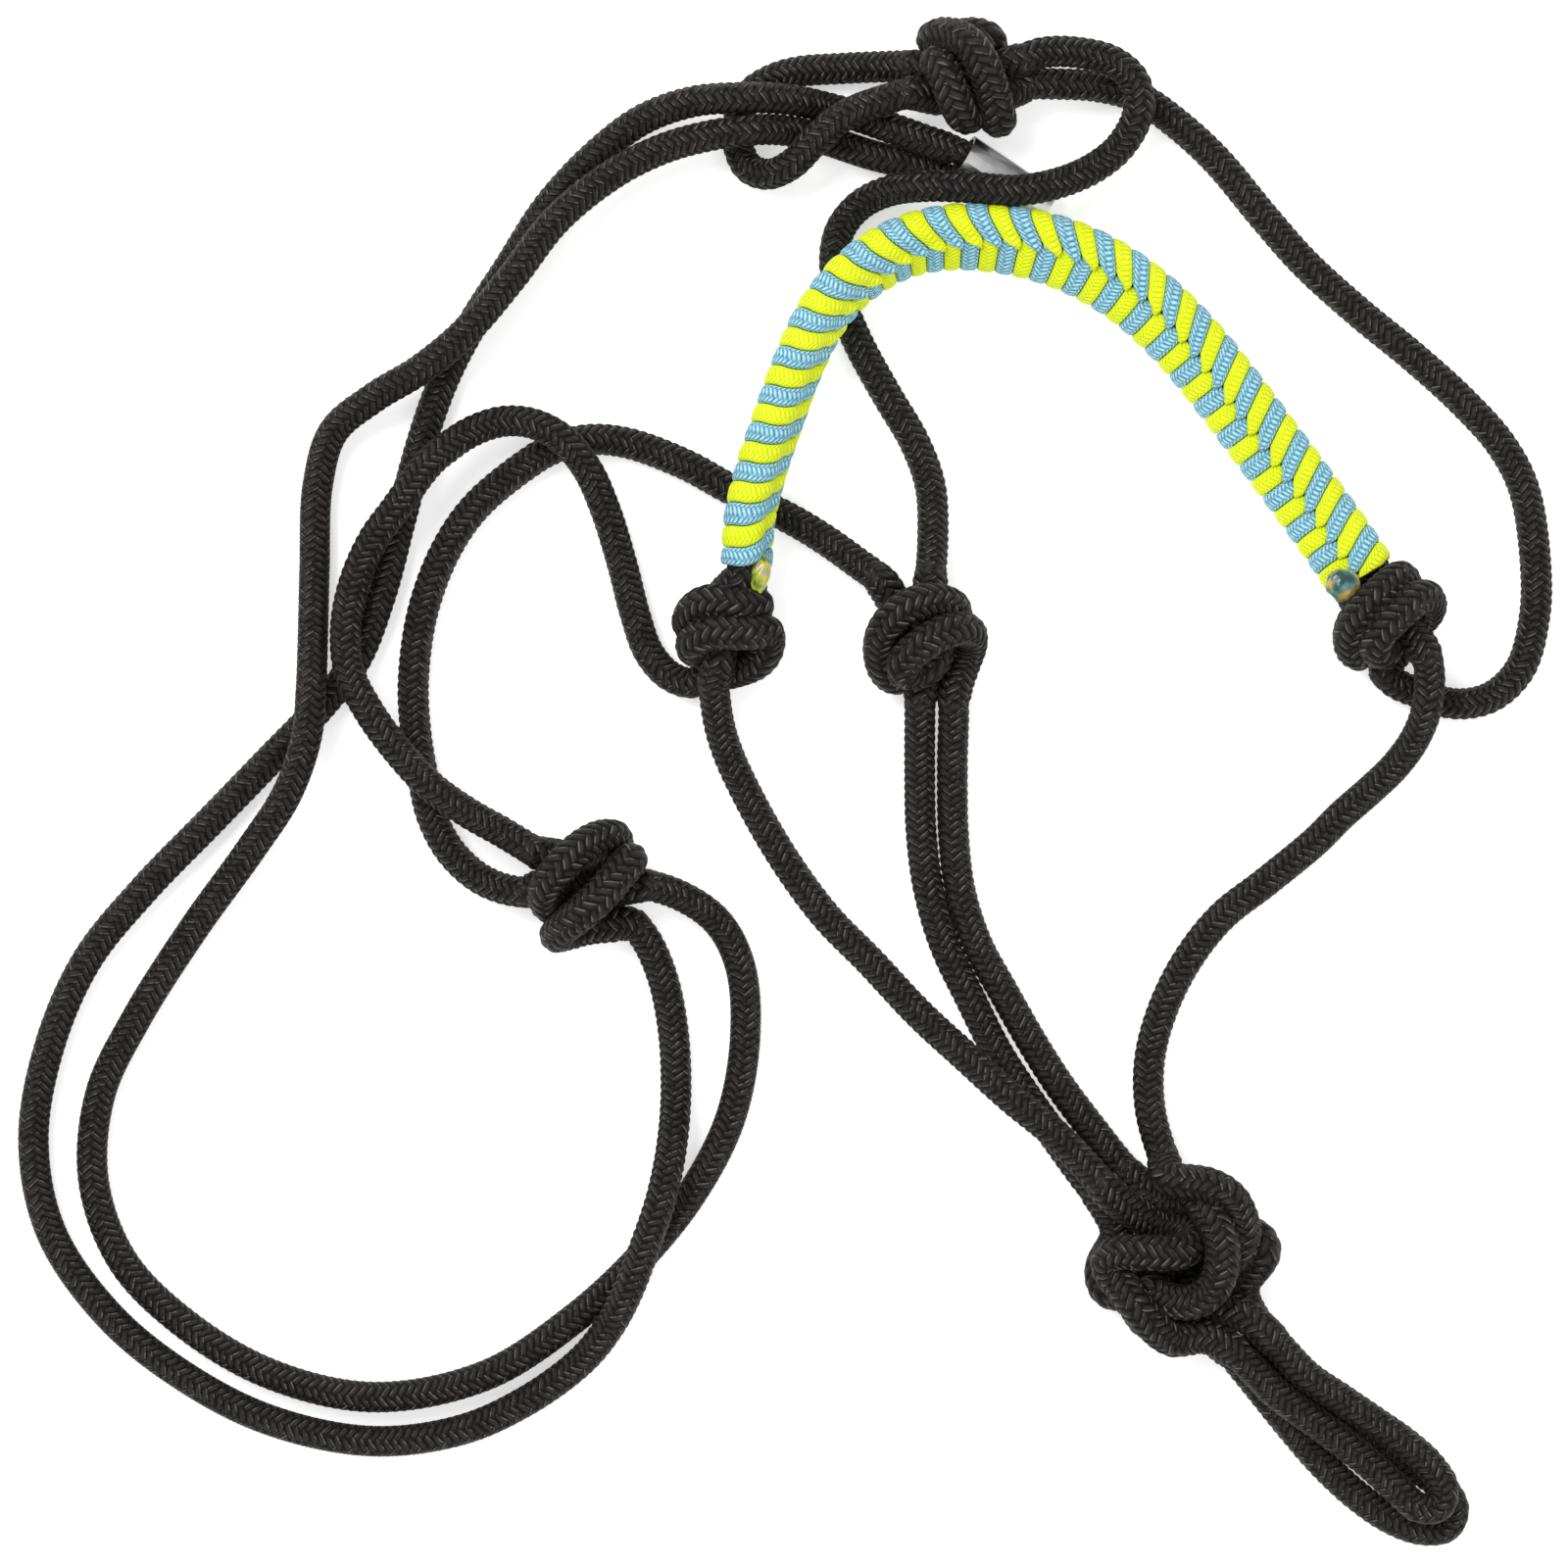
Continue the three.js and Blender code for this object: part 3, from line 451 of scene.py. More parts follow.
def rope_tubes(name, lines, radius_of):
    """One mesh of a braided tube along each line. radius_of(distance, length) is the tube's radius."""
    vertices, faces, uvs = [], [], []
    count = 0
    turn = np.arange(AROUND) / AROUND
    for line in lines:
        along = lengths(line)
        picks = max(1, round(along[-1] / PICK))
        pick = along / along[-1] * picks
        _, up, side = carried_frames(line)
        height = braid_height(turn[None], pick[:, None])
        radius = radius_of(along, along[-1])[:, None] + BRAID_RELIEF * (height - BRAID_MEAN)
        angle = 2 * np.pi * turn
        cosine, sine = np.cos(angle)[None, :, None], np.sin(angle)[None, :, None]
        round_it = cosine * up[:, None] + sine * side[:, None]
        ring = line[:, None] + radius[..., None] * round_it
        vertices += [ring.reshape(-1, 3), line[:1], line[-1:]]
        new_faces, new_uvs = closed_grid(len(line), AROUND, pick, count)
        faces += new_faces
        uvs += new_uvs
        count += ring.shape[0] * AROUND + 2
    vertices = np.vstack(vertices)
    vertices[:, 2] = np.maximum(vertices[:, 2], FLOOR_GAP)
    return mesh_object(name, vertices, faces, uvs)


def even_radius(along, length):
    return np.full(len(along), ROPE_RADIUS)


def knot_radius(along, length):
    """Thin at both ends, which lie inside the ropes that run on, and swollen between them."""
    share = smooth(np.minimum(along, length - along), 0, KNOT_SWELL)
    return KNOT_END_RADIUS + (KNOT_RADIUS - KNOT_END_RADIUS) * share


def core_radius(along, length):
    return np.full(len(along), CORE_RADIUS)


def tucked_radius(along, length):
    """The rope's own radius, squeezed where it goes into the ferrule at the end."""
    share = np.clip((along - (length - SQUEEZE_FROM_END)) / SQUEEZE_OVER, 0, 1)
    return ROPE_RADIUS - SQUEEZE * share


# ---- The noseband's own coordinates ----

noseband_line = smooth_route(ROUTES["noseband"], ROUTE_SPACING)
noseband_along = lengths(noseband_line)
NOSEBAND_LENGTH = noseband_along[-1]


def noseband_frames():
    """u points across both cores and v out of the visible face, at each point of the noseband's line."""
    tangent = unit(np.gradient(noseband_line, axis=0))
    outward = unit(np.stack([-tangent[:, 1], tangent[:, 0], np.zeros(len(tangent))], 1))
    upright = np.cross(tangent, outward)
    share = smooth(noseband_along / NOSEBAND_LENGTH, ROLL_FROM, ROLL_TO)
    roll = (ROLL_LEFT + (ROLL_RIGHT - ROLL_LEFT) * share)[:, None]
    u = outward * np.cos(roll) + upright * np.sin(roll)
    return u, unit(np.cross(tangent, u))


noseband_u, noseband_v = noseband_frames()


def on_noseband(station, u, v):
    """The point u across and v up from the noseband's line at this distance along it."""
    def read(table):
        return np.stack([np.interp(station, noseband_along, table[:, k]) for k in range(3)], -1)

    return read(noseband_line) + read(noseband_u) * u[..., None] + read(noseband_v) * v[..., None]


def on_section(distance, radius):
    """u and v at this distance round the two cores, from the top middle towards the inner edge."""
    arc = np.pi * RIBBON_MIDDLE
    flat = CORE_OFFSET
    ends = np.cumsum([flat, arc, 2 * flat, arc])
    inner = np.clip(distance - ends[0], 0, arc) / RIBBON_MIDDLE
    outer = np.clip(distance - ends[2], 0, arc) / RIBBON_MIDDLE
    u = np.clip(distance - ends[1], 0, 2 * flat) - np.clip(distance - ends[3], 0, None)
    u = u - np.minimum(distance, flat)
    u = u - radius * np.sin(inner) + radius * np.sin(outer)
    v = np.where(distance < ends[2], radius * np.cos(inner), -radius * np.cos(outer))
    return u, v


# ---- The rope inside the knots ----

CORE_SIDES = {"outer_core": 1, "inner_core": -1}


def way_in(knot, rope, which):
    """Three points on the rope as it goes into the knot, the outermost first."""
    inwards = np.array([TIE_SPACING, 0, -TIE_SPACING])
    if rope in CORE_SIDES:
        stations = CORE_JOIN + inwards
        if which == "end":
            stations = NOSEBAND_LENGTH - stations
        return on_noseband(stations, np.full(3, CORE_SIDES[rope] * CORE_OFFSET), np.zeros(3))
    line = smooth_route(ROUTES[rope], ROUTE_SPACING)
    if which == "end":
        line = line[::-1]
    if rope.startswith("lead_loop"):
        outside, mouth, back = points_at(line, [TIE_SPACING, 0, LEAD_LOOK_BACK])
        return np.stack([outside, mouth, 2 * mouth - back])
    join = FIADOR_JOIN if knot == "fiador_knot" else TIE_JOIN
    return points_at(line, join + inwards)


def moves_towards(points, free, one, other, wanted):
    """How far each point moves when every pair shares out what it lacks of its wanted length."""
    gap = points[other] - points[one]
    distance = np.linalg.norm(gap, axis=1)
    share = (distance - wanted) / distance / np.maximum(free[one] + free[other], 1)
    move = share[:, None] * gap
    total = np.zeros_like(points)
    np.add.at(total, one, move * free[one][:, None])
    np.add.at(total, other, -move * free[other][:, None])
    return total


def press_apart(points, free, one, other):
    """Moves the pairs that are closer than two strands can be away from each other."""
    close = np.linalg.norm(points[other] - points[one], axis=1) < TIE_CONTACT
    one, other = one[close], other[close]
    touches = np.bincount(np.concatenate([one, other]), minlength=len(points))
    spread = CONTACT_SHARE / np.sqrt(np.maximum(touches, 1))
    points += moves_towards(points, free, one, other, TIE_CONTACT) * spread[:, None]


def settle(lines, rounds):
    """Presses the strands apart where they touch. Each keeps its length, and its ends are held."""
    counts = [len(line) for line in lines]
    points = np.vstack(lines)
    strand = np.repeat(np.arange(len(lines)), counts)
    place = np.concatenate([np.arange(count) for count in counts])
    from_end = np.minimum(place, np.repeat(counts, counts) - 1 - place)
    free = (from_end >= TIE_HELD).astype(float)
    neighbour = np.flatnonzero(strand[:-1] == strand[1:])
    middle = np.flatnonzero(strand[:-2] == strand[2:]) + 1
    rest = np.linalg.norm(points[neighbour + 1] - points[neighbour], axis=1)
    one, other = np.triu_indices(len(points), 1)
    apart = (strand[one] != strand[other]) | ((other - one) * TIE_SPACING > TIE_APART)
    pairs = apart & (free[one] + free[other] > 0)
    one, other = one[pairs], other[pairs]
    for _ in range(rounds):
        for _ in range(LENGTH_PASSES):
            points += LENGTH_SHARE * moves_towards(points, free, neighbour, neighbour + 1, rest)
        bend = (points[middle - 1] + points[middle + 1]) / 2 - points[middle]
        points[middle] += BEND_SHARE * bend * free[middle][:, None]
        for _ in range(CONTACT_PASSES):
            press_apart(points, free, one, other)
        lifted = np.maximum(points[:, 2], TIE_FLOOR)
        points[:, 2] = np.where(free > 0, lifted, points[:, 2])
    return np.split(points, np.cumsum(counts)[:-1])


def tied_lines(knot):
    """The centre line of each strand in the knot, through points to the nearest tenth of a millimetre."""
    lines = []
    for first, last, points in KNOTS[knot]:
        start, end = way_in(knot, *first), way_in(knot, *last)[::-1]
        line = smooth_route(np.vstack([start, points, end]), TIE_SPACING)
        lines.append(resample(line, TIE_SPACING))
    rounds = FIADOR_ROUNDS if knot == "fiador_knot" else TIE_ROUNDS
    drawn = [np.round(resample(line, TIE_DRAWN_SPACING), TIE_DECIMALS) for line in settle(lines, rounds)]
    return [smooth_route(points, STEP) for points in drawn]


# ---- Wrap ----

# A hitch starts square at the middle of the face, runs round the back and ends in a slanted, lifted hook.
SQUARE_FROM = 0.0002
SQUARE_TAPER, SQUARE_TAPER_TO = 0.25, 0.0016
SQUARE_TUCK, SQUARE_TUCK_SPAN = 0.0004, (0.001, 0.004)
HOOK_TO = 0.0022
HOOK_LIFT, HOOK_SPAN = 0.0011, (0.55, 0.85)
HOOK_LEAN = 0.45
TIP_TAPER, TIP_LENGTH, TIP_SHARPNESS = 0.72, 0.0032, 1.5
TIP_DROP, TIP_DROP_OVER = 0.55, 0.0014
RISE = 0.0014
SLANT = 0.0058
SEAM_SHIFT = 0.0031
SEAM_CLIMBS, SEAM_RETURNS = (0.25, 0.42), (0.5, 0.75)
PAST_LAST = 0.0025
RIBBON_ALONG = 190
RIBBON_ROUND = 20
RIBBON_PICK = 0.00105
RIBBON_FILL = 0.97
RIBBON_SQUARENESS = (0.75, 0.8)
RIBBON_FACE_FROM = -0.2


def seam_shift(station):
    """How far the seam climbs towards the outer edge, most of all over the top of the arch."""
    share = station / NOSEBAND_LENGTH
    return SEAM_SHIFT * smooth(share, *SEAM_CLIMBS) * (1 - smooth(share, *SEAM_RETURNS))


def ribbon_section():
    """A rounded oblong, from -1 to 1 both ways: how wide and how thick the ribbon is at each turn."""
    theta = 2 * np.pi * np.arange(RIBBON_ROUND) / RIBBON_ROUND
    wide_power, thick_power = RIBBON_SQUARENESS
    wide = np.sign(np.cos(theta)) * np.abs(np.cos(theta)) ** wide_power
    thick = np.sign(np.sin(theta)) * np.abs(np.sin(theta)) ** thick_power
    return wide[None], thick[None]


def hitch(station, pitch, last):
    """The rings of one flat braided cord from its square, round the back, to its hook on the face."""
    perimeter = 4 * CORE_OFFSET + 2 * np.pi * RIBBON_MIDDLE
    outer_edge_at = perimeter - CORE_OFFSET - np.pi * RIBBON_MIDDLE / 2
    outer_edge = CORE_OFFSET + RIBBON_MIDDLE
    climb = seam_shift(station)
    hook_to = HOOK_TO - climb
    distance = np.linspace(SQUARE_FROM - climb, perimeter + hook_to, RIBBON_ALONG)
    from_square = distance + climb
    from_tip = distance - distance[-1]
    u, _ = on_section(distance, RIBBON_MIDDLE)
    past_edge = distance > outer_edge_at
    across = np.clip((outer_edge - u) / (outer_edge + hook_to), 0, 1)
    rising = smooth(distance, perimeter * 0.5, outer_edge_at)
    shift = np.where(past_edge, RISE + SLANT * across, RISE * rising)
    near_hook = past_edge * smooth(across, *HOOK_SPAN)
    lift = HOOK_LIFT * near_hook * (1 - TIP_DROP * smooth(from_tip, -TIP_DROP_OVER, 0))
    lift = lift - SQUARE_TUCK * (1 - smooth(from_square, *SQUARE_TUCK_SPAN))
    taper = 1 - TIP_TAPER * smooth(from_tip, -TIP_LENGTH, 0) ** TIP_SHARPNESS
    square_taper = 1 - SQUARE_TAPER + SQUARE_TAPER * smooth(from_square, SQUARE_FROM, SQUARE_TAPER_TO)
    half = 0.5 * pitch * RIBBON_FILL * taper * square_taper
    lean = HOOK_LEAN * taper * 0.5 * pitch * near_hook * (1 - taper)
    wide, thick = ribbon_section()
    turn = np.arange(RIBBON_ROUND)[None] / RIBBON_ROUND
    height = braid_height(turn, distance[:, None] / RIBBON_PICK)
    radius = RIBBON_MIDDLE + lift[:, None] + 0.5 * RIBBON_THICKNESS * thick
    radius = radius + RIBBON_RELIEF * (height - 0.5) * (thick > RIBBON_FACE_FROM)
    stations = np.minimum(station + (shift + lean)[:, None] + half[:, None] * wide, last)
    u, v = on_section(np.broadcast_to(distance[:, None], radius.shape), radius)
    return on_noseband(stations, u, v), distance


def wrap_cord(name, parity):
    """Every other hitch of the wrap, as one piece."""
    pitch = (NOSEBAND_LENGTH - WRAP_START - WRAP_END) / HITCHES
    last = NOSEBAND_LENGTH - WRAP_END + PAST_LAST
    vertices, faces, uvs = [], [], []
    count = 0
    for k in range(parity, HITCHES, 2):
        rings, distance = hitch(WRAP_START + (k + 0.5) * pitch, pitch, last)
        vertices += [rings.reshape(-1, 3), rings[0].mean(0)[None], rings[-1].mean(0)[None]]
        pick = distance / RIBBON_PICK
        new_faces, new_uvs = closed_grid(RIBBON_ALONG, RIBBON_ROUND, pick, count)
        faces += new_faces
        uvs += new_uvs
        count += rings.shape[0] * RIBBON_ROUND + 2
    return mesh_object(name, np.vstack(vertices), faces, uvs)


BEAD_LUMPS = 9
BEAD_LUMP_SCALE = 3.2
BEAD_LUMP_HEIGHT = 0.24
BEAD_TAIL_TAPER = 0.55


def melted_bead(name, node, place, along, width, length, narrowing, seed):
    """A lumpy drop of melted cord at the very end of the wrap, no thicker than the CAD bead."""
    low, high = (np.array(corner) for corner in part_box(node))
    middle = np.array([*place, (low[2] + high[2]) / 2])
    bpy.ops.mesh.primitive_ico_sphere_add(subdivisions=5, radius=1, location=(0, 0, 0))
    bead = bpy.context.object
    bead.name = name
    bead.data.name = name
    count = len(bead.data.vertices)
    points = np.empty(count * 3)
    bead.data.vertices.foreach_get("co", points)
    points = points.reshape(-1, 3)
    waves = np.random.default_rng(seed).normal(size=(BEAD_LUMPS, 3)) * BEAD_LUMP_SCALE
    lumps = sum(np.sin(points @ wave + k) for k, wave in enumerate(waves)) / len(waves)
    points = points * (1 + BEAD_LUMP_HEIGHT * lumps)[:, None]
    narrow = 1 - narrowing * BEAD_TAIL_TAPER * np.clip(-points[:, 1:2], 0, 1)
    points = points * np.hstack([narrow, np.ones_like(narrow), narrow])
    lengthwise = unit(np.array(along, float))
    sideways = unit(np.cross(lengthwise, [0, 0, 1.0]))
    upward = np.cross(sideways, lengthwise)
    widths = np.array([width, length, min(width, (high[2] - low[2]) / 2)])
    points = (points * widths) @ np.stack([sideways, lengthwise, upward]) + middle
    bead.data.vertices.foreach_set("co", points.ravel())
    bead.data.polygons.foreach_set("use_smooth", np.ones(len(bead.data.polygons), bool))
    bead.data.update()
    return bead


# ---- Materials ----

BLACK = (0, 0, 0)
WHITE = (1, 1, 1)
# The colour mix node has sockets of the same name for each kind of value, so these are found by number.
MIX_A, MIX_B, MIX_RESULT = 6, 7, 2


class Nodes:
    """Short calls for building a material's node tree."""

    def __init__(self, name):
        self.material = bpy.data.materials.new(name)
        self.material.use_nodes = True
        self.tree = self.material.node_tree
        self.shader = self.tree.nodes["Principled BSDF"]

    def add(self, kind, **settings):
        node = self.tree.nodes.new(kind)
        for key, value in settings.items():
            setattr(node, key, value)
        return node

    def link(self, source, target):
        self.tree.links.new(source, target)

    def noise(self, scale, detail=3.0, vector=None):
        node = self.add("ShaderNodeTexNoise")
        node.inputs["Scale"].default_value = scale
        node.inputs["Detail"].default_value = detail
        if vector is not None:
            self.link(vector, node.inputs["Vector"])
        return node.outputs["Fac"]

    def object_coordinates(self):
        return self.add("ShaderNodeTexCoord").outputs["Object"]

    def uv_scaled(self, x, y):
        """The Braid map's coordinates, multiplied."""
        uv = self.add("ShaderNodeUVMap", uv_map="Braid").outputs["UV"]
        scale = self.add("ShaderNodeVectorMath", operation="MULTIPLY")
        self.link(uv, scale.inputs[0])
        scale.inputs[1].default_value = (x, y, 1)
        return scale.outputs["Vector"]

    def ramp(self, factor, stops):
        node = self.add("ShaderNodeValToRGB")
        elements = node.color_ramp.elements
        while len(elements) < len(stops):
            elements.new(0.5)
        for element, (position, colour) in zip(elements, stops):
            element.position = position
            element.color = (*colour, 1)
        self.link(factor, node.inputs["Fac"])
        return node.outputs["Color"]

    def mix(self, factor, a, b, blend="MIX"):
        node = self.add("ShaderNodeMix", data_type="RGBA", blend_type=blend)
        if isinstance(factor, float):
            node.inputs["Factor"].default_value = factor
        else:
            self.link(factor, node.inputs["Factor"])
        for value, socket in ((a, node.inputs[MIX_A]), (b, node.inputs[MIX_B])):
            if isinstance(value, tuple):
                socket.default_value = (*value, 1)
            else:
                self.link(value, socket)
        return node.outputs[MIX_RESULT]

    def maths(self, operation, a, b):
        node = self.add("ShaderNodeMath", operation=operation)
        for value, socket in ((a, node.inputs[0]), (b, node.inputs[1])):
            if isinstance(value, float):
                socket.default_value = value
            else:
                self.link(value, socket)
        return node.outputs[0]

    def braid(self):
        """The braid's height, as in braid_height, and how far across its strand each point lies."""
        split = self.add("ShaderNodeSeparateXYZ")
        self.link(self.add("ShaderNodeUVMap", uv_map="Braid").outputs["UV"], split.inputs[0])
        turn = self.maths("MULTIPLY", split.outputs["X"], float(ROPE_STRANDS))
        u = self.maths("ADD", turn, split.outputs["Y"])
        v = self.maths("SUBTRACT", turn, split.outputs["Y"])
        part_u = self.maths("FRACT", u, 0.0)
        part_v = self.maths("FRACT", v, 0.0)
        whole_u = self.maths("FLOOR", u, 0.0)
        whole_v = self.maths("FLOOR", v, 0.0)

        def quarter(a, b):
            return self.maths("FRACT", self.maths("MULTIPLY", self.maths("ADD", a, b), 0.25), 0.0)

        column = quarter(self.maths("ADD", whole_u, 0.25), whole_v)
        front = self.maths("LESS_THAN", column, 0.5)
        across = self.choose(front, part_u, part_v)
        lengthwise = self.choose(
            front,
            self.maths("MULTIPLY", quarter(whole_u, v), 2.0),
            self.maths("SUBTRACT", self.maths("MULTIPLY", quarter(whole_v, u), 2.0), 1.0),
        )
        crown = self.maths("SINE", self.maths("MULTIPLY", across, math.pi), 0.0)
        arch = self.maths("SINE", self.maths("MULTIPLY", lengthwise, math.pi), 0.0)
        arch = self.maths("POWER", self.maths("MAXIMUM", arch, 0.0), BRAID_ARCH)
        share = self.maths("ADD", self.maths("MULTIPLY", arch, 1 - BRAID_LOW), BRAID_LOW)
        return self.maths("MULTIPLY", crown, share), across

    def choose(self, front, a, b):
        """a where front is 1 and b where it is 0."""
        return self.maths("ADD", b, self.maths("MULTIPLY", front, self.maths("SUBTRACT", a, b)))

    def bump(self, height, strength, distance):
        node = self.add("ShaderNodeBump")
        node.inputs["Strength"].default_value = strength
        node.inputs["Distance"].default_value = distance
        self.link(height, node.inputs["Height"])
        self.link(node.outputs["Normal"], self.shader.inputs["Normal"])

    def finish(self, colour, roughness, specular):
        self.link(colour, self.shader.inputs["Base Color"])
        self.shader.inputs["Roughness"].default_value = roughness
        self.shader.inputs["Specular IOR Level"].default_value = specular
        return self.material


def rope_material():
    """Near-black braided polyester: painted shade in the creases with lighter crowns, painted glints along
    one edge of each strand, and fine fibres.
    """
    n = Nodes("braided_rope")
    relief, across = n.braid()
    # Painted shade: this ramp on the braid's height darkens the creases and lightens the strand crowns.
    shaded_base = n.ramp(relief, [
        (0.05, (0.0006, 0.0006, 0.0005)), (0.4, (0.006, 0.0054, 0.0048)),
        (0.75, (0.017, 0.015, 0.0132)), (1.0, (0.026, 0.0228, 0.0202)),
    ])
    patches = n.noise(90, 3, n.object_coordinates())
    tone = n.ramp(patches, [(0.3, (0.8, 0.78, 0.76)), (0.7, (1.25, 1.2, 1.15))])
    shaded_base = n.mix(1.0, shaded_base, tone, "MULTIPLY")
    # Painted highlight: pale glints (0.13, 0.118, 0.105) along one edge of the raised strands, broken into
    # streaks.
    streak = n.ramp(n.noise(1.0, 2, n.uv_scaled(9.0, 1.1)), [(0.44, BLACK), (0.6, WHITE)])
    edge = n.ramp(across, [(0.66, BLACK), (0.78, WHITE), (0.88, (0.9, 0.9, 0.9)), (0.97, BLACK)])
    raised = n.ramp(relief, [(0.2, BLACK), (0.36, WHITE)])
    glint = n.mix(1.0, n.mix(1.0, streak, edge, "MULTIPLY"), raised, "MULTIPLY")
    colour = n.mix(glint, shaded_base, (0.13, 0.118, 0.105))
    fibres = n.noise(1.0, 2, n.uv_scaled(60.0, 26.0))
    n.bump(n.maths("ADD", relief, n.maths("MULTIPLY", fibres, 0.3)), 0.6, 0.0005)
    n.shader.inputs["Sheen Weight"].default_value = 0.02
    return n.finish(colour, 0.55, 0.14)


def wrap_material(name, painted_crease_shade, body, painted_crest_highlight, fleck_share):
    """Flat braided cord: painted shade in the creases, a body colour, painted highlight on the crests and
    paler flecks on the picks.
    """
    n = Nodes(name)
    relief, _ = n.braid()
    # Painted shade and highlight: this ramp on the braid's height darkens the creases and lightens the
    # crests.
    shaded_base = n.ramp(relief, [(0.08, painted_crease_shade), (0.5, body), (1.0, painted_crest_highlight)])
    fleck = n.noise(1.0, 2, n.uv_scaled(20.0, 1.2))
    fleck = n.ramp(fleck, [(0.42, BLACK), (0.64, (fleck_share,) * 3)])
    colour = n.mix(fleck, shaded_base, n.ramp(relief, [(0.1, body), (0.7, painted_crest_highlight)]))
    patches = n.noise(160, 3, n.object_coordinates())
    wear = n.ramp(patches, [(0.3, (0.92, 0.93, 0.92)), (0.7, WHITE)])
    colour = n.mix(1.0, colour, wear, "MULTIPLY")
    fibres = n.noise(1.0, 2, n.uv_scaled(70.0, 12.0))
    n.bump(n.maths("ADD", relief, n.maths("MULTIPLY", fibres, 0.3)), 0.5, 0.0003)
    n.shader.inputs["Sheen Weight"].default_value = 0.04
    return n.finish(colour, 0.55, 0.25)


def melted_material(name, stops):
    """Glassy melted cord with streaks of both colours."""
    n = Nodes(name)
    colour = n.ramp(n.noise(260, 2, n.object_coordinates()), stops)
    n.bump(n.noise(500, 2, n.object_coordinates()), 0.4, 0.0005)
    n.shader.inputs["Coat Weight"].default_value = 0.6
    return n.finish(colour, 0.22, 0.5)


# The direction across the ferrule, where its middle lies in that direction, and its width, which place the
# painted highlight stripes and painted edge shade across it.
FERRULE_ACROSS = (0.521, 0.8536, 0.0)
FERRULE_AXIS_AT = 0.1583
FERRULE_WIDTH = 0.0148


def metal_material():
    """Satin aluminium with painted highlight stripes and painted shade towards its edges, laid across the
    ferrule's width, fine scuffs and a slightly darker haze in places.
    """
    n = Nodes("satin_aluminium")
    place = n.object_coordinates()
    across = n.add("ShaderNodeVectorMath", operation="DOT_PRODUCT")
    n.link(place, across.inputs[0])
    across.inputs[1].default_value = FERRULE_ACROSS
    from_axis = n.maths("SUBTRACT", across.outputs["Value"], FERRULE_AXIS_AT)
    share = n.maths("ADD", n.maths("MULTIPLY", from_axis, 1 / FERRULE_WIDTH), 0.5)
    # Painted reflection and shade: bright streaks and dark bands across the ferrule's width, darkest at its
    # far edge.
    drawn = n.ramp(share, [
        (0.02, (0.6, 0.6, 0.6)), (0.16, (0.7, 0.7, 0.69)),
        (0.26, (0.16, 0.165, 0.15)), (0.34, (0.3, 0.3, 0.29)),
        (0.44, (0.85, 0.85, 0.85)), (0.7, (0.62, 0.62, 0.62)),
        (0.86, (0.42, 0.42, 0.42)), (0.97, (0.12, 0.12, 0.12)),
    ])
    haze = n.ramp(n.noise(220, 4, place), [(0.35, (0.82, 0.82, 0.82)), (0.6, WHITE)])
    colour = n.mix(1.0, drawn, haze, "MULTIPLY")
    n.bump(n.noise(900, 2, place), 0.12, 0.0002)
    n.shader.inputs["Metallic"].default_value = 1.0
    return n.finish(colour, 0.32, 0.5)


def dress(piece, material):
    """Gives the piece its material."""
    piece.data.materials.clear()
    piece.data.materials.append(material)


# ---- Camera, light and floor ----

CAMERA_HEIGHT = 1.6
CAMERA_LENS = 144
CAMERA_SENSOR = 36
SKY_STRENGTH = 0.66
# Name, place, size and power in watts of each panel.
PANELS = (
    ("key", (-0.7, 0.8, 1.5), 0.9, 20),
    ("fill", (0.9, -0.6, 1.3), 1.2, 6),
)
FLOOR_HALF = 3.0
FLOOR_GREY = (0.9, 0.9, 0.9, 1)
FLOOR_GLOW = 0.52


def aim(place):
    """The rotation that turns a light at place towards the middle of the object."""
    return (-Vector(place)).to_track_quat("-Z", "Y").to_euler()


def make_camera(scene):
    """Straight down on a square of 400 mm."""
    camera = bpy.data.objects.new("camera", bpy.data.cameras.new("camera"))
    camera.data.sensor_width = CAMERA_SENSOR
    camera.data.lens = CAMERA_LENS
    camera.location = (0, 0, CAMERA_HEIGHT)
    scene.collection.objects.link(camera)
    scene.camera = camera


def make_lights(scene):
    """An even white sky and two soft panels."""
    world = bpy.data.worlds.new("studio")
    world.use_nodes = True
    background = world.node_tree.nodes["Background"]
    background.inputs["Color"].default_value = (1, 1, 1, 1)
    background.inputs["Strength"].default_value = SKY_STRENGTH
    scene.world = world
    for name, place, size, power in PANELS:
        light = bpy.data.objects.new(name, bpy.data.lights.new(name, "AREA"))
        light.data.size = size
        light.data.energy = power
        light.location = place
        light.rotation_euler = aim(place)
        scene.collection.objects.link(light)


def set_up_view():
    scene = bpy.context.scene
    scene.view_settings.view_transform = "Standard"
    make_camera(scene)
    make_lights(scene)


def make_floor():
    """A pale floor that glows a little, so that it stays near white under the object's soft shadows."""
    corners = [(-1, -1), (1, -1), (1, 1), (-1, 1)]
    mesh = bpy.data.meshes.new("floor")
    mesh.from_pydata([(x * FLOOR_HALF, y * FLOOR_HALF, 0) for x, y in corners], [], [(0, 1, 2, 3)])
    floor = bpy.data.objects.new("floor", mesh)
    bpy.context.scene.collection.objects.link(floor)
    n = Nodes("floor")
    n.shader.inputs["Base Color"].default_value = FLOOR_GREY
    n.shader.inputs["Roughness"].default_value = 1.0
    n.shader.inputs["Specular IOR Level"].default_value = 0.0
    n.shader.inputs["Emission Color"].default_value = (1, 1, 1, 1)
    n.shader.inputs["Emission Strength"].default_value = FLOOR_GLOW
    mesh.materials.append(n.material)


# ---- Pieces ----

# The two nose knots, each with a noseband end point and the noseband line's point 30 line points, 15 mm, in
# from that end. Only the knot names are read, to bake these knots in place rather than attach them.
NOSE_BEND = 30
NOSEBAND_BLENDS = {
    "nose_knot_left": (ROUTES["noseband"][0], tuple(noseband_line[NOSE_BEND])),
    "nose_knot_right": (ROUTES["noseband"][-1], tuple(noseband_line[-1 - NOSE_BEND])),
}
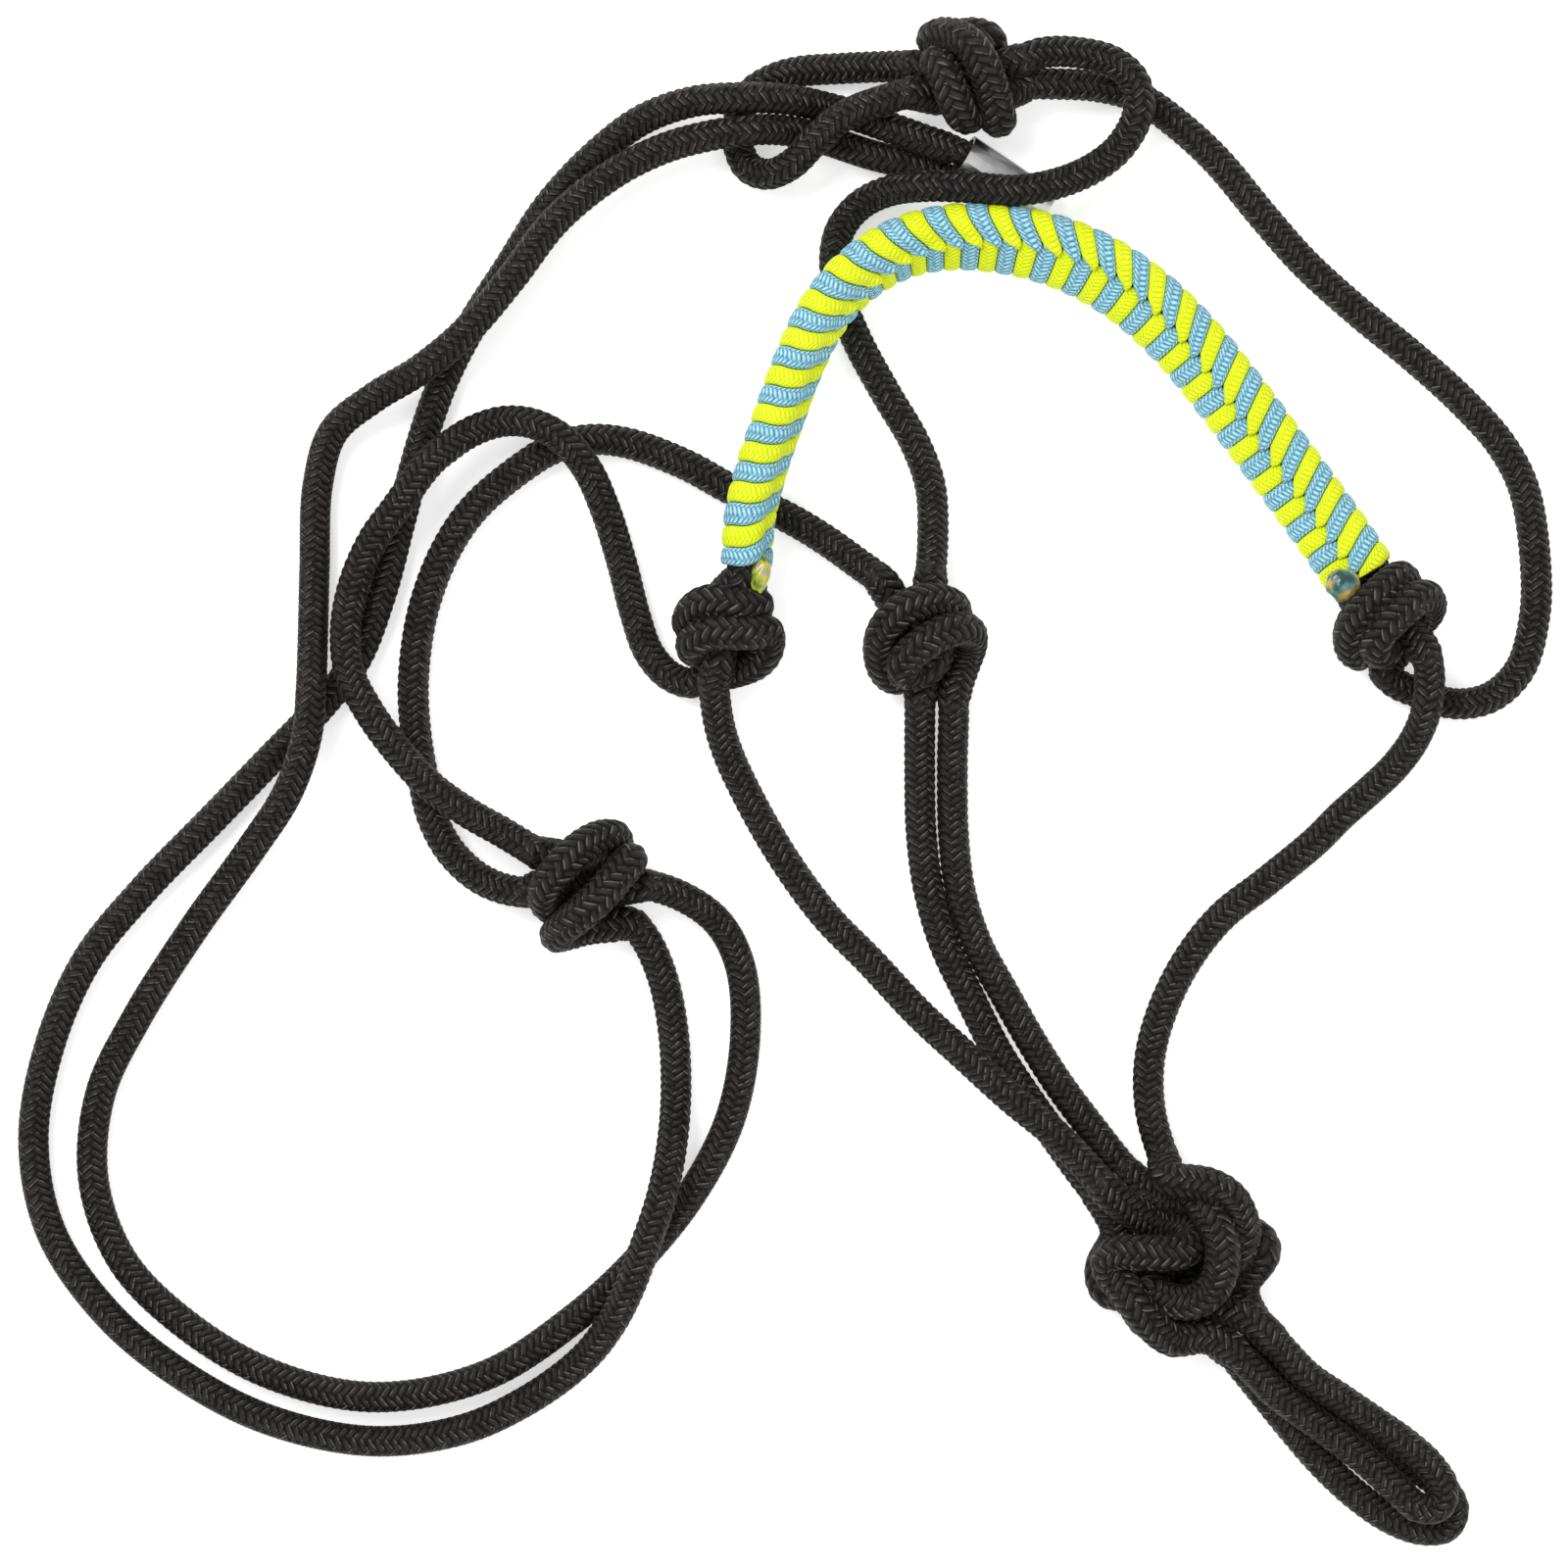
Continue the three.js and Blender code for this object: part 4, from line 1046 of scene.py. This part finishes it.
# Rope name: what is cut from its start and end, so that it begins and ends inside its knots.
SPANS = {
    "chin_rope_left": (KNOT_STUB, FIADOR_STUB),
    "throat_rope_left": (KNOT_STUB, FIADOR_STUB),
    "throat_rope_right": (KNOT_STUB, FIADOR_STUB),
    "chin_rope_right": (KNOT_STUB, FIADOR_STUB),
    "cheek_rope_right": (KNOT_STUB, KNOT_STUB),
    "throat_rope_to_eye": (KNOT_STUB, KNOT_STUB),
    "throat_rope_to_crown": (KNOT_STUB, KNOT_STUB),
    "cheek_rope_left": (KNOT_STUB, KNOT_STUB),
    "crown_rope_a": (KNOT_STUB, 0),
    "crown_rope_b": (KNOT_STUB, 0),
    "eye_loop": (KNOT_STUB, KNOT_STUB),
}
# The last points of the two tails, inside the ferrule.
FERRULE_ENDS = {
    "crown_rope_a": [(0.0452, 0.1541, 0.0058), (0.0482, 0.1525, 0.0060)],
    "crown_rope_b": [(0.0482, 0.1590, 0.0086), (0.0510, 0.1570, 0.0076)],
}


# Crease, body and crest colours of each wrap cord, and how strong its pale flecks are. The crease colour is
# painted shade and the crest colour is painted highlight.
YELLOW = ((0.46, 0.60, 0.003), (0.80, 0.93, 0.006), (0.90, 0.98, 0.016), 0.35)
BLUE = ((0.03, 0.18, 0.29), (0.12, 0.38, 0.53), (0.50, 0.79, 0.88), 0.6)

OLIVE = [
    (0.32, (0.05, 0.16, 0.03)), (0.45, (0.45, 0.5, 0.02)),
    (0.56, (0.55, 0.42, 0.03)), (0.68, (0.3, 0.34, 0.22)),
]
TEAL = [
    (0.36, (0.008, 0.05, 0.05)), (0.48, (0.02, 0.17, 0.15)),
    (0.58, (0.42, 0.26, 0.03)), (0.7, (0.5, 0.5, 0.22)),
]
# Side, colours, place, lengthwise direction, half width, half length, narrowing of the tail and seed.
BEADS = (
    ("left", OLIVE, (-0.0060, 0.0525), (0.12, 1, 0), 0.0027, 0.0055, 1.0, 4),
    ("right", TEAL, (0.1412, 0.0502), (-0.8, 0.6, 0), 0.0040, 0.0044, 0.1, 9),
)


def make_ropes(material):
    for name, (start, end) in SPANS.items():
        points = list(ROUTES[name]) + FERRULE_ENDS.get(name, [])
        line = part_of(smooth_route(points, ROUTE_SPACING), start, end)
        radius_of = tucked_radius if name in FERRULE_ENDS else even_radius
        piece = rope_tubes(name + "_rope", [line], radius_of)
        dress(piece, material)
        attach(piece, "halter")
        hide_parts(name)


def make_lead_loop(material):
    for name in ("lead_loop_top", "lead_loop_bottom"):
        line = smooth_route(ROUTES[name], STEP)
        piece = rope_tubes(name + "_rope", [line], even_radius)
        dress(piece, material)
        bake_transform(piece)
        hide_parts(name)


def make_knots(material):
    for name in KNOTS:
        piece = rope_tubes(name + "_tied_rope", tied_lines(name), knot_radius)
        dress(piece, material)
        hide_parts(name)
        if name in NOSEBAND_BLENDS:
            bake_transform(piece)
        elif name == "fiador_knot":
            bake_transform(piece)
        else:
            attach(piece, "halter")


def make_noseband(material):
    stations = np.arange(CORE_END, NOSEBAND_LENGTH - CORE_END, STEP)
    zero = np.zeros(len(stations))
    for name, side in (("outer", 1), ("inner", -1)):
        line = on_noseband(stations, zero + side * CORE_OFFSET, zero)
        piece = rope_tubes("noseband_core_rope_" + name, [line], core_radius)
        dress(piece, material)
        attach(piece, "noseband")
        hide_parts("noseband_core_" + name)
    yellow = wrap_material("yellow_cord", *YELLOW)
    blue = wrap_material("blue_cord", *BLUE)
    for name, colour, parity in (("blue", blue, 0), ("yellow", yellow, 1)):
        piece = wrap_cord("hitched_" + name + "_cord", parity)
        dress(piece, colour)
        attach(piece, "noseband")
        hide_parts("wrap_cord_" + name)


def make_beads():
    for side, stops, place, along, width, length, narrowing, seed in BEADS:
        node = "melted_cord_end_" + side
        piece = melted_bead("melted_bead_" + side, node, place, along, width, length, narrowing, seed)
        dress(piece, melted_material("melted_" + side, stops))
        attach(piece, "noseband")
        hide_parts(node)


def finish_ferrule():
    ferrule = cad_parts["tail_ferrule"]
    material = metal_material()
    for holder in ferrule.material_slots:
        holder.material = material


set_up_view()
make_floor()
rope = rope_material()
make_ropes(rope)
make_lead_loop(rope)
make_knots(rope)
make_noseband(rope)
make_beads()
finish_ferrule()
